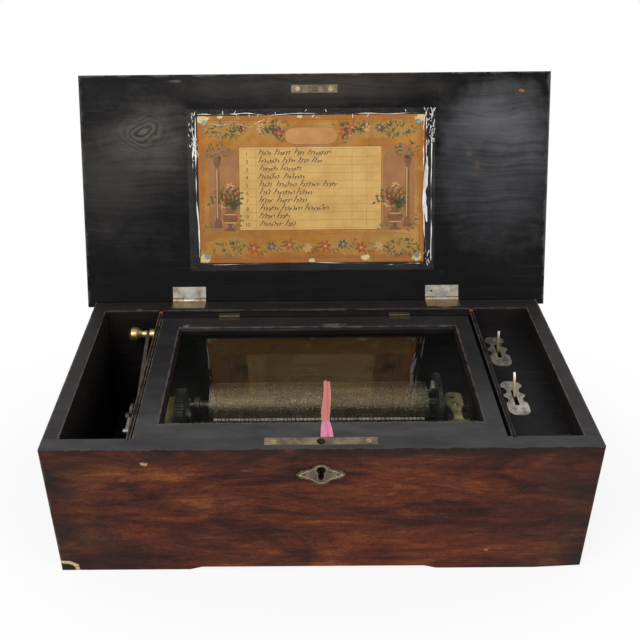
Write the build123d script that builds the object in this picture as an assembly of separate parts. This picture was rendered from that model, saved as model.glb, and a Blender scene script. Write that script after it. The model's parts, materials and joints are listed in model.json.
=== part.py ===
from build123d import *
from math import cos, pi, radians, sin, sqrt
import os

# A lever-wound cylinder music box in a wooden case, lid open, with its tune lid of glass closed.
# Millimetres. X to the right, Y to the back, Z up. The origin is the centre of the base, on the floor.

# ---- case ----
case_width = 520.0
case_depth = 252.0
case_height = 159.0
front_wall = 14.5
side_wall = 15.5
back_wall = 18.5
bottom_board = 10.0
relief_height = 3.5
relief_left = -131.0
relief_right = 116.0
relief_slope = 12.0
corner_wear_length = 46.0
corner_wear_height = 3.0

# ---- partitions, control board, rear rail and ledges ----
partition_place = 180.0
partition_thickness = 4.0
partition_drop = 1.5
groove = 2.0
control_drop = 25.0
control_board = 6.0
cleat_depth = 8.0
cleat_height = 10.0
rear_rail_depth = 9.3
ledge_width = 7.0
ledge_height = 10.0

# ---- outer lid and its hinges, modelled shut and then opened ----
lid_thickness = 12.5
overhang_side = 10.5
overhang_front = 8.0
overhang_back = 10.8
lid_lean = 20.7
lid_stop_gap = 0.4
lid_top_round = 5.0
lid_bottom_round = 2.5
hinge_place = 149.3
hinge_width = 39.0
hinge_leaf = 13.5
hinge_leaf_thickness = 1.5
knuckle_radius = 2.6
hinge_pin_radius = 1.2
knuckle_gap = 0.3
wood_screw_radius = 1.2
wood_screw_length = 9.0
wood_screw_head = 2.8
wood_screw_head_height = 0.8
hinge_screw_spread = 25.0

# ---- catch plate, lock and escutcheon ----
catch_width = 53.0
catch_depth = 9.0
catch_thickness = 1.5
catch_screw_spread = 38.0
stud_radius = 2.2
stud_length = 9.0
neck_radius = 1.2
neck_length = 3.0
selvedge_width = 105.0
selvedge_depth = 9.7
selvedge_thickness = 2.0
selvedge_screw_spread = 88.0
lock_width = 68.0
lock_depth = 9.2
lock_drop = 42.0
lock_shell = 1.2
stud_hole_radius = 4.0
stud_inset = 5.1
bolt_width = 40.0
bolt_thickness = 2.0
bolt_travel = 5.0
bolt_slot = 1.7
bolt_hole_radius = 2.6
bolt_depth = 5.0
keyhole_height = 132.8
keyhole_radius = 3.3
keyhole_slot = 3.6
keyhole_foot = 122.0
escutcheon_width = 47.0
escutcheon_height = 25.0
escutcheon_disc = 10.0
escutcheon_wing_root = 7.5
escutcheon_wing_tip = 4.4
escutcheon_tip_length = 4.0
escutcheon_scallop = 2.2
escutcheon_thickness = 1.0
escutcheon_pin_radius = 0.7
escutcheon_pin_length = 4.0

# ---- tune card ----
card_width = 262.0
card_height = 171.0
card_shift = -4.0
card_from_hinge = 45.0
card_thickness = 0.8
film_side = 12.0
film_foot = 10.0
film_head = 8.0
film_thickness = 0.25
film_gap = 0.05
card_pin_radius = 3.0
card_pin_head = 1.0
card_pin_shank = 0.8
card_pin_inset = 8.0

# ---- glass lid ----
glass_gap_left = 1.0
glass_gap_right = 3.5
glass_gap_front = 2.0
glass_gap_back = 1.7
glass_lid_drop = 3.0
glass_lid_thickness = 11.5
glass_rail_left = 24.5
glass_rail_right = 20.0
glass_rail_front = 25.0
glass_rail_back = 23.0
glass_moulding = 3.0
pane_depth = 7.5
pane_thickness = 2.0
pane_rebate = 3.0
pane_fit = 0.2
glass_hinge_left = -100.0
glass_hinge_right = 96.0
glass_hinge_width = 24.0
glass_knuckle_radius = 1.2
glass_pin_radius = 0.6
glass_leaf = 6.5
glass_leaf_thickness = 0.6
ribbon_width = 11.0
ribbon_thickness = 0.5
ribbon_place = 5.0
ribbon_end = -14.0
ribbon_reach = 7.0

# ---- movement ----
bedplate_top = 50.0
bedplate_thickness = 8.0
bedplate_left = -176.0
bedplate_right = 170.0
bedplate_front = -78.0
bedplate_back = 70.0
pillar_radius = 8.0
pillar_inset_side = 12.0
bedplate_corner_radius = 6.0
worm_step_depth = 1.5
worm_head_end = 0.3
pillar_inset_end = 20.0
machine_screw_radius = 1.6
machine_screw_head = 3.4
machine_screw_head_height = 2.0
machine_slot_half = 0.4
pillar_thread = 10.0
comb_thread = 12.0
cock_thread = 12.0
cock_screw_length = 8.0
running_fit = 0.05
cylinder_y = 20.0
cylinder_z = 90.0
cylinder_radius = 23.5
cylinder_shell = 2.2
cylinder_left = -118.0
cylinder_right = 120.0
cap_thickness = 4.0
arbor_radius = 3.0
left_bearing_from = -136.0
left_bearing_width = 6.0
right_bearing_from = 137.0
right_bearing_width = 4.5
bearing_half_width = 9.0
bearing_foot = 5.0
collar_radius = 5.0
collar_width = 1.5
cap_hub = 3.5
spring_turns = 4
spring_wire = 0.45
spring_radius = 4.0
great_wheel_left = 130.0
great_wheel_width = 4.5
great_module = 0.8
great_teeth = 82
lay_teeth = 10
post_radius = 2.4
post_circle = 15.0
post_count = 3
post_angle = 128.0
snail_circle = 19.0
snail_angle = 68.0
snail_steps = 10
snail_rise = 0.3
snail_radius = 6.5
snail_thickness = 2.0
snail_stud = 1.2
follower_radius = 1.0
follower_clearance = 0.6
tooth_share = 0.38
tooth_addendum = 0.75
tooth_dedendum = 1.15

# ---- comb ----
comb_left = -113.0
comb_right = 115.0
comb_teeth = 54
comb_gap = 0.7
comb_base_setback = 4.0
comb_thickness = 1.6
comb_clearance = 0.9
comb_root = -56.0
comb_heel = -74.0
comb_heel_thickness = 4.0

# ---- spring barrel and winding lever ----
barrel_module = 0.95
barrel_teeth = 58
pinion_teeth = 14
barrel_angle = 159.4
barrel_wheel_left = -150.5
barrel_wheel_width = 9.0
drum_left = -171.5
drum_radius = 20.0
drum_wall = 1.5
winding_radius = 4.0
mainspring_turns = 6
mainspring_strip = 0.6
mainspring_pitch = 2.0
mainspring_width = 14.0
barrel_bracket = 3.0
barrel_bracket_gap = 1.5
lever_hub_gap = 1.5
barrel_bracket_half = 8.0
lever_from = -196.0
lever_thickness = 4.0
lever_length = 109.7
lever_angle = 18.6
lever_hub_radius = 9.0
lever_bar_width = 9.0
ratchet_from = -200.0
ratchet_thickness = 3.0
ratchet_radius = 14.0
ratchet_teeth = 20
ratchet_depth = 2.2
nut_radius = 4.4
nut_width = 5.0
handle_left = -216.0
handle_right = -186.0
handle_radius = 8.0
handle_neck = 4.2
handle_round = 3.0
handle_step = 2.0
handle_neck_swell = 0.6
handle_knob = 12.0
handle_flare = 6.2
handle_pin_radius = 2.5
click_length = 17.0
click_angle = 150.0
click_clearance = 0.4
click_thickness = 3.0
click_half = 3.5
click_nose_back = 1.5
click_nose_height = 3.0
click_heel = 4.0
click_pivot_radius = 1.5

# ---- governor ----
worm_x = 155.0
lay_angle = -60.0
worm_module = 0.7
worm_teeth = 20
worm_radius = 3.0
worm_clearance = 0.5
worm_thread = 0.42
worm_turns = 5
worm_arbor_radius = 1.0
fan_bottom = 66.5
fan_height = 10.0
fan_radius = 8.0
fan_thickness = 0.6
governor_base = 1.5
governor_plate = 2.5
governor_left_plate = 144.5
governor_base_width = 23.0
worm_wheel_gap = 1.0
governor_right_plate = 160.5
cock_top = 81.0
cock_thickness = 2.0
cock_width = 19.0
cock_neck = 9.0
cock_front = 7.0
cock_back = 50.0
cock_corner_radius = 6.0
cock_worm_cover = 4.0
cock_neck_inset = 3.0
cock_slot_half = 2.5
cock_slot_from = 7.0
cock_slot_to = 10.0
jewel_radius = 3.0
jewel_height = 1.2
governor_base_front = 5.0
governor_base_back = 4.0
lay_bearing_half = 5.0
flange_width = 23.0
flange_screw_spread = 16.4
flange_depth = 6.0
post_leg_radius = 2.8
worm_wheel_width = 3.5
lay_arbor_radius = 1.5

# ---- controls ----
lever_inset = 21.0
lever_pivot_x = 100.0
start_place = -26.0
start_rest = 5.0
start_lean = 10.0
change_place = 56.0
change_rest = 3.0
change_lean = 5.5
slot_length = 24.0
slot_width = 4.4
plate_length = 54.0
plate_half_width = 11.0
plate_thickness = 1.0
plate_screw_spread = 45.0
plate_screw_radius = 0.8
plate_screw_head_height = 0.5
plate_screw_length = 5.0
plate_scallop_outset = 2.0
plate_back_scallop = 6.5
plate_front_scallop = 5.5
plate_back_scallop_share = 0.42
plate_front_scallop_share = 0.12
bar_thickness = 4.0
bar_width = 6.0
bar_lift = 1.0
upright_width = 2.4
upright_shift = 0.4
upright_depth = 4.0
pointer_tip = 1.0
lever_top_gap = 3.0
bar_travel = 9.0
stop_finger_gap = 0.8
stop_arm_width = 3.0
stop_finger_back = 3.0
pivot_play = 0.2

# ---- worked out from the sizes above ----
front_face = -case_depth / 2
back_face = case_depth / 2
side_face = case_width / 2
inner_front = front_face + front_wall
inner_back = back_face - back_wall
inner_side = side_face - side_wall
partition_top = case_height - partition_drop
well_side = partition_place - partition_thickness / 2
shelf_side = partition_place + partition_thickness / 2
lever_column = shelf_side + lever_inset
lean = radians(lid_lean)
hinge_y = back_face + (lid_stop_gap + overhang_back * sin(lean)) / (1 + sin(lean))
hinge_z = case_height
lid_front = front_face - overhang_front
lid_back = back_face + overhang_back
lid_side = side_face + overhang_side
stud_y = inner_front - stud_inset
selvedge_front = inner_front - selvedge_depth
lock_front = stud_y - lock_depth / 2
lock_back = stud_y + lock_depth / 2
bolt_top = case_height - bolt_depth
glass_left = -well_side + glass_gap_left
glass_right = well_side - glass_gap_right
glass_front = inner_front + glass_gap_front
rail_front = inner_back - rear_rail_depth
glass_back = rail_front - glass_gap_back
glass_top = case_height - glass_lid_drop
glass_bottom = glass_top - glass_lid_thickness
pane_top = glass_top - pane_depth
open_left = glass_left + glass_rail_left
open_right = glass_right - glass_rail_right
open_front = glass_front + glass_rail_front
open_back = glass_back - glass_rail_back
glass_axis_y = (glass_back + rail_front) / 2
glass_axis_z = glass_top + glass_knuckle_radius
bedplate_bottom = bedplate_top - bedplate_thickness
barrel_distance = barrel_module * (barrel_teeth + pinion_teeth) / 2
barrel_y = cylinder_y + barrel_distance * cos(radians(barrel_angle))
barrel_z = cylinder_z + barrel_distance * sin(radians(barrel_angle))
lay_distance = great_module * (great_teeth + lay_teeth) / 2
lay_y = cylinder_y + lay_distance * cos(radians(lay_angle))
lay_z = cylinder_z + lay_distance * sin(radians(lay_angle))
worm_wheel_radius = worm_module * worm_teeth / 2
worm_y = lay_y - worm_wheel_radius - worm_radius - worm_clearance
handle_y = barrel_y + lever_length * cos(radians(lever_angle))
handle_z = barrel_z + lever_length * sin(radians(lever_angle))
control_top = case_height - control_drop
lever_tip_z = case_height - lever_top_gap
bar_bottom = bedplate_top + bar_lift
click_tip_y = barrel_y + (ratchet_radius + click_clearance) * cos(radians(click_angle))
click_tip_z = barrel_z + (ratchet_radius + click_clearance) * sin(radians(click_angle))
click_pivot_y = click_tip_y - click_length
click_pivot_z = click_tip_z - 2.0
comb_tip = cylinder_y - cylinder_radius - comb_clearance
comb_top = cylinder_z + comb_thickness / 2


# ---- helpers ----
def block(x0, x1, y0, y1, z0, z1):
    """A box between two corners."""
    return Pos((x0 + x1) / 2, (y0 + y1) / 2, (z0 + z1) / 2) * Box(x1 - x0, y1 - y0, z1 - z0)


def rod_x(x0, x1, y, z, radius):
    """A round bar along X."""
    return Pos((x0 + x1) / 2, y, z) * Rot(0, 90, 0) * Cylinder(radius, x1 - x0)


def rod_y(x, y0, y1, z, radius):
    """A round bar along Y."""
    return Pos(x, (y0 + y1) / 2, z) * Rot(90, 0, 0) * Cylinder(radius, y1 - y0)


def rod_z(x, y, z0, z1, radius):
    """A round bar along Z."""
    return Pos(x, y, (z0 + z1) / 2) * Cylinder(radius, z1 - z0)


def prism_x(points, x0, x1):
    """A straight-sided outline in Y and Z, drawn out along X."""
    outline = [(x0, y, z) for y, z in points]
    return extrude(make_face(Polyline(*outline, close=True)), amount=x1 - x0, dir=(1, 0, 0))


def prism_z(points, z0, z1):
    """A straight-sided outline in X and Y, drawn out along Z."""
    outline = [(x, y, z0) for x, y in points]
    return extrude(make_face(Polyline(*outline, close=True)), amount=z1 - z0, dir=(0, 0, 1))


def prism_y(points, y0, y1):
    """A straight-sided outline in X and Z, drawn out along Y."""
    outline = [(x, y0, z) for x, z in points]
    return extrude(make_face(Polyline(*outline, close=True)), amount=y1 - y0, dir=(0, 1, 0))


def opened(shape):
    """Swings a piece of the outer lid from shut to its open rest."""
    return shape.rotate(Axis((0, hinge_y, hinge_z), (1, 0, 0)), -(90 + lid_lean))


def wood_screw(x, y, z, upward=False):
    """A slotted wood screw whose head stands on z; upward when it is driven up into the lid."""
    way = -1 if upward else 1
    head = rod_z(x, y, *sorted((z, z + way * wood_screw_head_height)), wood_screw_head)
    shank = rod_z(x, y, *sorted((z, z - way * wood_screw_length)), wood_screw_radius)
    slot_floor = z + way * wood_screw_head_height / 2
    slot_end = z + way * wood_screw_head_height * 2
    slot = block(x - wood_screw_head, x + wood_screw_head, y - 0.3, y + 0.3, *sorted((slot_floor, slot_end)))
    return head + shank - slot


def wood_hole(x, y, z, upward=False):
    """The hole that a wood screw fills."""
    way = -1 if upward else 1
    return rod_z(x, y, *sorted((z, z - way * wood_screw_length)), wood_screw_radius)


def machine_screw(x, y, z, depth):
    """A cheese-head screw whose head stands on z."""
    head = rod_z(x, y, z, z + machine_screw_head_height, machine_screw_head)
    shank = rod_z(x, y, z - depth, z, machine_screw_radius)
    slot_floor = z + machine_screw_head_height / 2
    slot = block(x - machine_screw_head, x + machine_screw_head, y - machine_slot_half,
                 y + machine_slot_half, slot_floor, z + machine_screw_head_height * 2)
    return head + shank - slot


def machine_hole(x, y, z, depth):
    """The hole that a machine screw fills."""
    return rod_z(x, y, z - depth, z, machine_screw_radius)


def toothed(teeth, module, gap_angle):
    """Points round a gear's outline, with the middle of a tooth gap at gap_angle degrees."""
    pitch_radius = module * teeth / 2
    tip = pitch_radius + tooth_addendum * module
    root = pitch_radius - tooth_dedendum * module
    half = tooth_share * pi / teeth
    points = []
    for tooth in range(teeth):
        middle = radians(gap_angle) + (tooth + 0.5) * 2 * pi / teeth
        for radius, share in ((root, -1.3), (tip, -0.6), (tip, 0.6), (root, 1.3)):
            points.append((radius * cos(middle + share * half), radius * sin(middle + share * half)))
    return points


def gear_x(teeth, module, gap_angle, x0, x1, y, z, bore):
    """A spur gear on an axis along X."""
    outline = [(y + a, z + b) for a, b in toothed(teeth, module, gap_angle)]
    return prism_x(outline, x0, x1) - rod_x(x0 - 1, x1 + 1, y, z, bore)


def smooth_curl(points, tangents):
    """A path of tangent circular arcs, two between each pair of points."""
    edges = []
    for p0, p1, t0, t1 in zip(points, points[1:], tangents, tangents[1:]):
        gap = p1 - p0
        both = t0 + t1
        spread = 2 * (1 - t0.dot(t1))
        reach = (-gap.dot(both) + sqrt(gap.dot(both) ** 2 + spread * gap.dot(gap))) / spread
        middle = (p0 + p1 + (t0 - t1) * reach) / 2
        turn = (middle - p0 - t0 * reach).normalized()
        edges.append(TangentArc(p0, middle, tangent=t0))
        edges.append(TangentArc(middle, p1, tangent=turn))
    return Wire(edges)


def coil(start, along, across, radius, pitch, turns, wire):
    """A round wire wound about an axis, as one tube."""
    third = along.cross(across)
    points = []
    tangents = []
    for quarter in range(turns * 4 + 1):
        angle = quarter * pi / 2
        outward = across * cos(angle) + third * sin(angle)
        sideways = third * cos(angle) - across * sin(angle)
        points.append(start + along * (pitch * quarter / 4) + outward * radius)
        tangents.append((sideways * (2 * pi * radius) + along * pitch).normalized())
    path = smooth_curl(points, tangents)
    section = Plane(origin=points[0], z_dir=tangents[0]) * Circle(wire)
    return sweep(section, path=path)


# ---- case ----
def case_front_board():
    """The front wall, with the worn relief under it, the lock's mortise and the partition grooves."""
    board = block(-side_face, side_face, front_face, inner_front, 0, case_height)
    relief = [(relief_left, -1), (relief_left, 0), (relief_left + relief_slope, relief_height),
              (relief_right - relief_slope, relief_height), (relief_right, 0), (relief_right, -1)]
    board -= prism_y(relief, front_face - 1, inner_front + 1)
    wear = [(side_face - corner_wear_length, -1), (side_face - corner_wear_length, 0),
            (side_face + 1, corner_wear_height), (side_face + 1, -1)]
    board -= prism_y(wear, front_face - 1, inner_front + 1)
    board -= block(-selvedge_width / 2, selvedge_width / 2, selvedge_front, inner_front + 1,
                   case_height - selvedge_thickness, case_height + 1)
    board -= block(-lock_width / 2, lock_width / 2, lock_front, inner_front + 1,
                   case_height - lock_drop, case_height)
    board -= keyhole(front_face - 1, inner_front)
    for x in selvedge_screw_places():
        board -= wood_hole(x, stud_y, case_height - wood_screw_head_height)
    for x, z in escutcheon_pin_places():
        board -= rod_y(x, front_face, front_face + escutcheon_pin_length, z, escutcheon_pin_radius)
    return board - partition_grooves()


def partition_grooves():
    """The grooves in the front and back walls that hold both partitions."""
    cuts = Part()
    for side in (-1, 1):
        middle = side * partition_place
        cuts += block(middle - partition_thickness / 2, middle + partition_thickness / 2,
                      inner_front - groove, inner_back + groove, bottom_board, case_height + 1)
    return cuts


def case_back_board():
    board = block(-side_face, side_face, inner_back, back_face, 0, case_height)
    for x in (-hinge_place, hinge_place):
        board -= block(x - hinge_width / 2, x + hinge_width / 2, hinge_y - knuckle_gap - hinge_leaf - knuckle_radius,
                       back_face + 1, case_height - hinge_leaf_thickness, case_height + 1)
    for x, y in case_hinge_screw_places():
        board -= wood_hole(x, y, case_height - wood_screw_head_height)
    return board - partition_grooves()


def case_side_board(side):
    x0, x1 = sorted((side * inner_side, side * side_face))
    return block(x0, x1, inner_front, inner_back, 0, case_height)


def case_bottom_board():
    return block(-inner_side, inner_side, inner_front, inner_back, 0, bottom_board)


def partition_board(side):
    middle = side * partition_place
    board = block(middle - partition_thickness / 2, middle + partition_thickness / 2,
                  inner_front - groove, inner_back + groove, bottom_board, partition_top)
    if side < 0:
        board -= rod_x(-shelf_side - 1, -well_side + 1, barrel_y, barrel_z, winding_radius + 1)
        board -= rod_x(-shelf_side - 1, -well_side + 1, click_pivot_y, click_pivot_z, click_pivot_radius)
    else:
        for place in (start_place, change_place):
            half = bar_travel + bar_width
            board -= block(well_side - 1, shelf_side + 1, place - half, place + half,
                           bedplate_top, bar_bottom + bar_thickness + 2)
    return board


def control_board_piece():
    board = block(shelf_side, inner_side, inner_front, inner_back, control_top - control_board, control_top)
    for place in (start_place, change_place):
        board -= control_slot(place, control_top - control_board - 1, control_top + 1)
        for y in plate_screw_places(place):
            board -= rod_z(lever_column, y, control_top - plate_screw_length, control_top, plate_screw_radius)
    return board


def control_cleats():
    top = control_top - control_board
    front = block(shelf_side, inner_side, inner_front, inner_front + cleat_depth, top - cleat_height, top)
    back = block(shelf_side, inner_side, inner_back - cleat_depth, inner_back, top - cleat_height, top)
    return [front, back]


def inner_ledges_piece():
    """The ledges that the glass lid rests on, and the cleats under the control board."""
    low = glass_bottom - ledge_height
    left = block(-well_side, -well_side + ledge_width, inner_front, rail_front, low, glass_bottom)
    right = block(well_side - ledge_width, well_side, inner_front, rail_front, low, glass_bottom)
    front = block(-well_side + ledge_width, well_side - ledge_width, inner_front,
                  inner_front + ledge_width, low, glass_bottom)
    return Compound([left, right, front] + control_cleats())


def rear_rail_piece():
    return block(-well_side, well_side, rail_front, inner_back, glass_bottom, glass_top)


# ---- lock ----
def keyhole(y0, y1):
    """The keyhole's opening, drawn through from y0 to y1."""
    slot = block(-keyhole_slot / 2, keyhole_slot / 2, y0, y1, keyhole_foot, keyhole_height)
    return rod_y(0, y0, y1, keyhole_height, keyhole_radius) + slot


def selvedge_screw_places():
    return (-selvedge_screw_spread / 2, selvedge_screw_spread / 2)


def lock_case_piece():
    """The lock's brass box with its selvedge plate on top."""
    under = case_height - selvedge_thickness
    box = block(-lock_width / 2, lock_width / 2, lock_front, lock_back, case_height - lock_drop, under)
    box -= block(-lock_width / 2 + lock_shell, lock_width / 2 - lock_shell, lock_front + lock_shell,
                 lock_back - lock_shell, case_height - lock_drop + lock_shell, under - lock_shell)
    box += block(-selvedge_width / 2, selvedge_width / 2, selvedge_front, inner_front, under, case_height)
    box -= rod_z(0, stud_y, under - lock_shell - 1, case_height + 1, stud_hole_radius)
    box -= keyhole(lock_front - 1, lock_front + lock_shell + 0.5)
    for x in selvedge_screw_places():
        box -= rod_z(x, stud_y, under - 1, case_height - wood_screw_head_height, wood_screw_radius)
        box -= rod_z(x, stud_y, case_height - wood_screw_head_height, case_height + 1, wood_screw_head)
    return box


def lock_bolt_piece():
    """The sliding bolt, with a round hole for the stud and a slot that takes hold of its neck."""
    depth = lock_depth / 2 - lock_shell - running_fit
    low = bolt_top - bolt_thickness
    bolt = block(-bolt_width / 2, bolt_width / 2, stud_y - depth, stud_y + depth, low, bolt_top)
    bolt -= rod_z(0, stud_y, low - 1, bolt_top + 1, bolt_hole_radius)
    bolt -= block(-bolt_travel - bolt_slot, 0, stud_y - bolt_slot, stud_y + bolt_slot, low - 1, bolt_top + 1)
    return bolt


def escutcheon_middle():
    return (keyhole_height + keyhole_foot) / 2


def escutcheon_pin_places():
    half = escutcheon_width / 2 - escutcheon_tip_length
    return ((-half, escutcheon_middle()), (half, escutcheon_middle()))


def escutcheon_piece():
    """A pierced plate: a tall rounded middle, and two wings that narrow to scalloped, pointed ends."""
    middle = escutcheon_middle()
    back = front_face
    front = front_face - escutcheon_thickness
    rise = escutcheon_height / 2 - escutcheon_disc
    plate = rod_y(0, front, back, middle + rise, escutcheon_disc) + rod_y(0, front, back, middle - rise, escutcheon_disc)
    point = escutcheon_width / 2
    shoulder = point - escutcheon_tip_length
    wings = []
    for side, turn in ((1, 1), (-1, -1)):
        wings += [(side * escutcheon_disc * 0.8, middle - turn * escutcheon_wing_root),
                  (side * shoulder, middle - turn * escutcheon_wing_tip), (side * point, middle),
                  (side * shoulder, middle + turn * escutcheon_wing_tip),
                  (side * escutcheon_disc * 0.8, middle + turn * escutcheon_wing_root)]
    plate += prism_y(wings, front, back)
    notch = (escutcheon_disc + shoulder) / 2 + escutcheon_scallop / 2
    for side in (-1, 1):
        for end in (-1, 1):
            edge = middle + end * (escutcheon_wing_tip + escutcheon_scallop + 0.8)
            plate -= rod_y(side * notch, front - 1, back + 1, edge, escutcheon_scallop)
    plate -= keyhole(front - 1, back + 1)
    for x, z in escutcheon_pin_places():
        plate -= rod_y(x, front - 1, back + 1, z, escutcheon_pin_radius)
    return plate


def escutcheon_pins():
    front = front_face - escutcheon_thickness
    return [rod_y(x, front, front_face + escutcheon_pin_length, z, escutcheon_pin_radius)
            + rod_y(x, front - 0.6, front, z, escutcheon_pin_radius * 2)
            for x, z in escutcheon_pin_places()]


# ---- outer lid ----
def hinge_screw_y():
    return hinge_y - knuckle_radius - hinge_leaf / 2


def case_hinge_screw_places():
    return [(side * hinge_place + end * hinge_screw_spread / 2, hinge_screw_y())
            for side in (-1, 1) for end in (-1, 1)]


def lid_hinge_screw_places():
    """The right hinge's inner screw has been lost, so its hole is bare."""
    return [place for place in case_hinge_screw_places() if place[0] < 0 or place[0] > hinge_place]


def catch_screw_places():
    return ((-catch_screw_spread / 2, stud_y), (catch_screw_spread / 2, stud_y))


def card_pin_places():
    half = card_width / 2 - card_pin_inset
    near = hinge_y - card_from_hinge - card_pin_inset
    far = hinge_y - card_from_hinge - card_height + card_pin_inset
    return [(card_shift + side * half, y) for side in (-1, 1) for y in (near, far)]


def lid_board_piece():
    board = block(-lid_side, lid_side, lid_front, lid_back, hinge_z, hinge_z + lid_thickness)
    top = board.faces().sort_by(Axis.Z)[-1]
    bottom = board.faces().sort_by(Axis.Z)[0]
    board = fillet(top.edges(), lid_top_round)
    board = fillet(board.faces().sort_by(Axis.Z)[0].edges(), lid_bottom_round)
    for side in (-1, 1):
        x0 = side * hinge_place - hinge_width / 2
        x1 = side * hinge_place + hinge_width / 2
        leaf_front = hinge_y - knuckle_radius - knuckle_gap - hinge_leaf
        board -= block(x0, x1, leaf_front, hinge_y, hinge_z - 1, hinge_z + hinge_leaf_thickness)
        board -= block(x0 - knuckle_gap, x1 + knuckle_gap, hinge_y - knuckle_radius - knuckle_gap,
                       lid_back + 1, hinge_z - 1, hinge_z + knuckle_radius + knuckle_gap)
    board -= block(-catch_width / 2, catch_width / 2, stud_y - catch_depth / 2, stud_y + catch_depth / 2,
                   hinge_z - 1, hinge_z + catch_thickness)
    for x, y in case_hinge_screw_places() + list(catch_screw_places()):
        board -= wood_hole(x, y, hinge_z + wood_screw_head_height, upward=True)
    for x, y in card_pin_places():
        board -= rod_z(x, y, hinge_z - 1, hinge_z + 6, card_pin_shank)
    return opened(board)


def lid_hinge_leaf(side, upper):
    """One leaf of a lid hinge: the lower has the outer knuckles and the upper has the middle one."""
    middle = side * hinge_place
    x0 = middle - hinge_width / 2
    third = hinge_width / 3
    way = 1 if upper else -1
    z0, z1 = sorted((hinge_z, hinge_z + way * hinge_leaf_thickness))
    front = hinge_y - knuckle_radius - knuckle_gap - hinge_leaf
    leaf = block(x0, x0 + hinge_width, front, hinge_y, z0, z1)
    mine = (1,) if upper else (0, 2)
    for index in range(3):
        a = x0 + third * index
        if index in mine:
            leaf += rod_x(a + knuckle_gap / 2, a + third - knuckle_gap / 2, hinge_y, hinge_z, knuckle_radius)
        else:
            leaf -= block(a - knuckle_gap / 2, a + third + knuckle_gap / 2,
                          hinge_y - knuckle_radius - knuckle_gap, hinge_y + 1, hinge_z - 5, hinge_z + 5)
    bore = hinge_pin_radius + (running_fit if upper else 0)
    leaf -= rod_x(x0 - 1, x0 + hinge_width + 1, hinge_y, hinge_z, bore)
    seat0, seat1 = sorted((hinge_z, hinge_z + way * (hinge_leaf_thickness - wood_screw_head_height)))
    for x in (middle - hinge_screw_spread / 2, middle + hinge_screw_spread / 2):
        leaf -= rod_z(x, hinge_screw_y(), z0 - 1, z1 + 1, wood_screw_radius)
        head0, head1 = sorted((hinge_z - way, hinge_z + way * wood_screw_head_height))
        leaf -= rod_z(x, hinge_screw_y(), head0, head1, wood_screw_head)
    return leaf


def lid_hinge_lower_leaves():
    return Compound([lid_hinge_leaf(side, False) for side in (-1, 1)])


def lid_hinge_upper_leaves():
    return opened(Compound([lid_hinge_leaf(side, True) for side in (-1, 1)]))


def lid_hinge_pins_piece():
    half = hinge_width / 2
    return Compound([rod_x(x - half, x + half, hinge_y, hinge_z, hinge_pin_radius)
                     for x in (-hinge_place, hinge_place)])


def case_screws_piece():
    """The screws of the lower hinge leaves and of the lock's selvedge, and the escutcheon's pins."""
    seat = case_height - wood_screw_head_height
    places = case_hinge_screw_places() + [(x, stud_y) for x in selvedge_screw_places()]
    return Compound([wood_screw(x, y, seat) for x, y in places] + escutcheon_pins())


def lid_screws_piece():
    """The screws of the upper hinge leaves and of the catch plate."""
    seat = hinge_z + wood_screw_head_height
    places = lid_hinge_screw_places() + list(catch_screw_places())
    return opened(Compound([wood_screw(x, y, seat, upward=True) for x, y in places]))


def catch_plate_piece():
    """The plate let into the lid, with the necked stud that enters the lock."""
    plate = block(-catch_width / 2, catch_width / 2, stud_y - catch_depth / 2, stud_y + catch_depth / 2,
                  hinge_z, hinge_z + catch_thickness)
    for x, y in catch_screw_places():
        plate -= rod_z(x, y, hinge_z - 1, hinge_z + catch_thickness + 1, wood_screw_radius)
        plate -= rod_z(x, y, hinge_z - 1, hinge_z + wood_screw_head_height, wood_screw_head)
    tip = hinge_z - stud_length
    neck_foot = bolt_top - bolt_thickness / 2 - neck_length / 2
    plate += rod_z(0, stud_y, tip, neck_foot, stud_radius)
    plate += rod_z(0, stud_y, neck_foot, neck_foot + neck_length, neck_radius)
    plate += rod_z(0, stud_y, neck_foot + neck_length, hinge_z, stud_radius)
    return opened(plate)


def tune_card_piece():
    far = hinge_y - card_from_hinge - card_height
    card = block(card_shift - card_width / 2, card_shift + card_width / 2, far, far + card_height,
                 hinge_z - card_thickness, hinge_z)
    for x, y in card_pin_places():
        card -= rod_z(x, y, hinge_z - card_thickness - 1, hinge_z + 1, card_pin_shank)
    return opened(card)


def card_film_piece():
    far = hinge_y - card_from_hinge - card_height - film_head
    near = hinge_y - card_from_hinge + film_foot
    top = hinge_z - card_thickness - film_gap
    film = block(card_shift - card_width / 2 - film_side, card_shift + card_width / 2 + film_side, far, near,
                 top - film_thickness, top)
    for x, y in card_pin_places():
        film -= rod_z(x, y, top - film_thickness - 1, top + 1, card_pin_shank)
    return opened(film)


def card_pins_piece():
    under = hinge_z - card_thickness - film_gap - film_thickness
    pins = [rod_z(x, y, under - card_pin_head, under, card_pin_radius)
            + rod_z(x, y, under, hinge_z + 6, card_pin_shank) for x, y in card_pin_places()]
    return opened(Compound(pins))


# ---- glass lid ----
def glass_corners():
    """The frame's outer and inner corners in plan, front left first and then round."""
    outer = [(glass_left, glass_front), (glass_right, glass_front), (glass_right, glass_back), (glass_left, glass_back)]
    inner = [(open_left, open_front), (open_right, open_front), (open_right, open_back), (open_left, open_back)]
    return outer, inner


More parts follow.
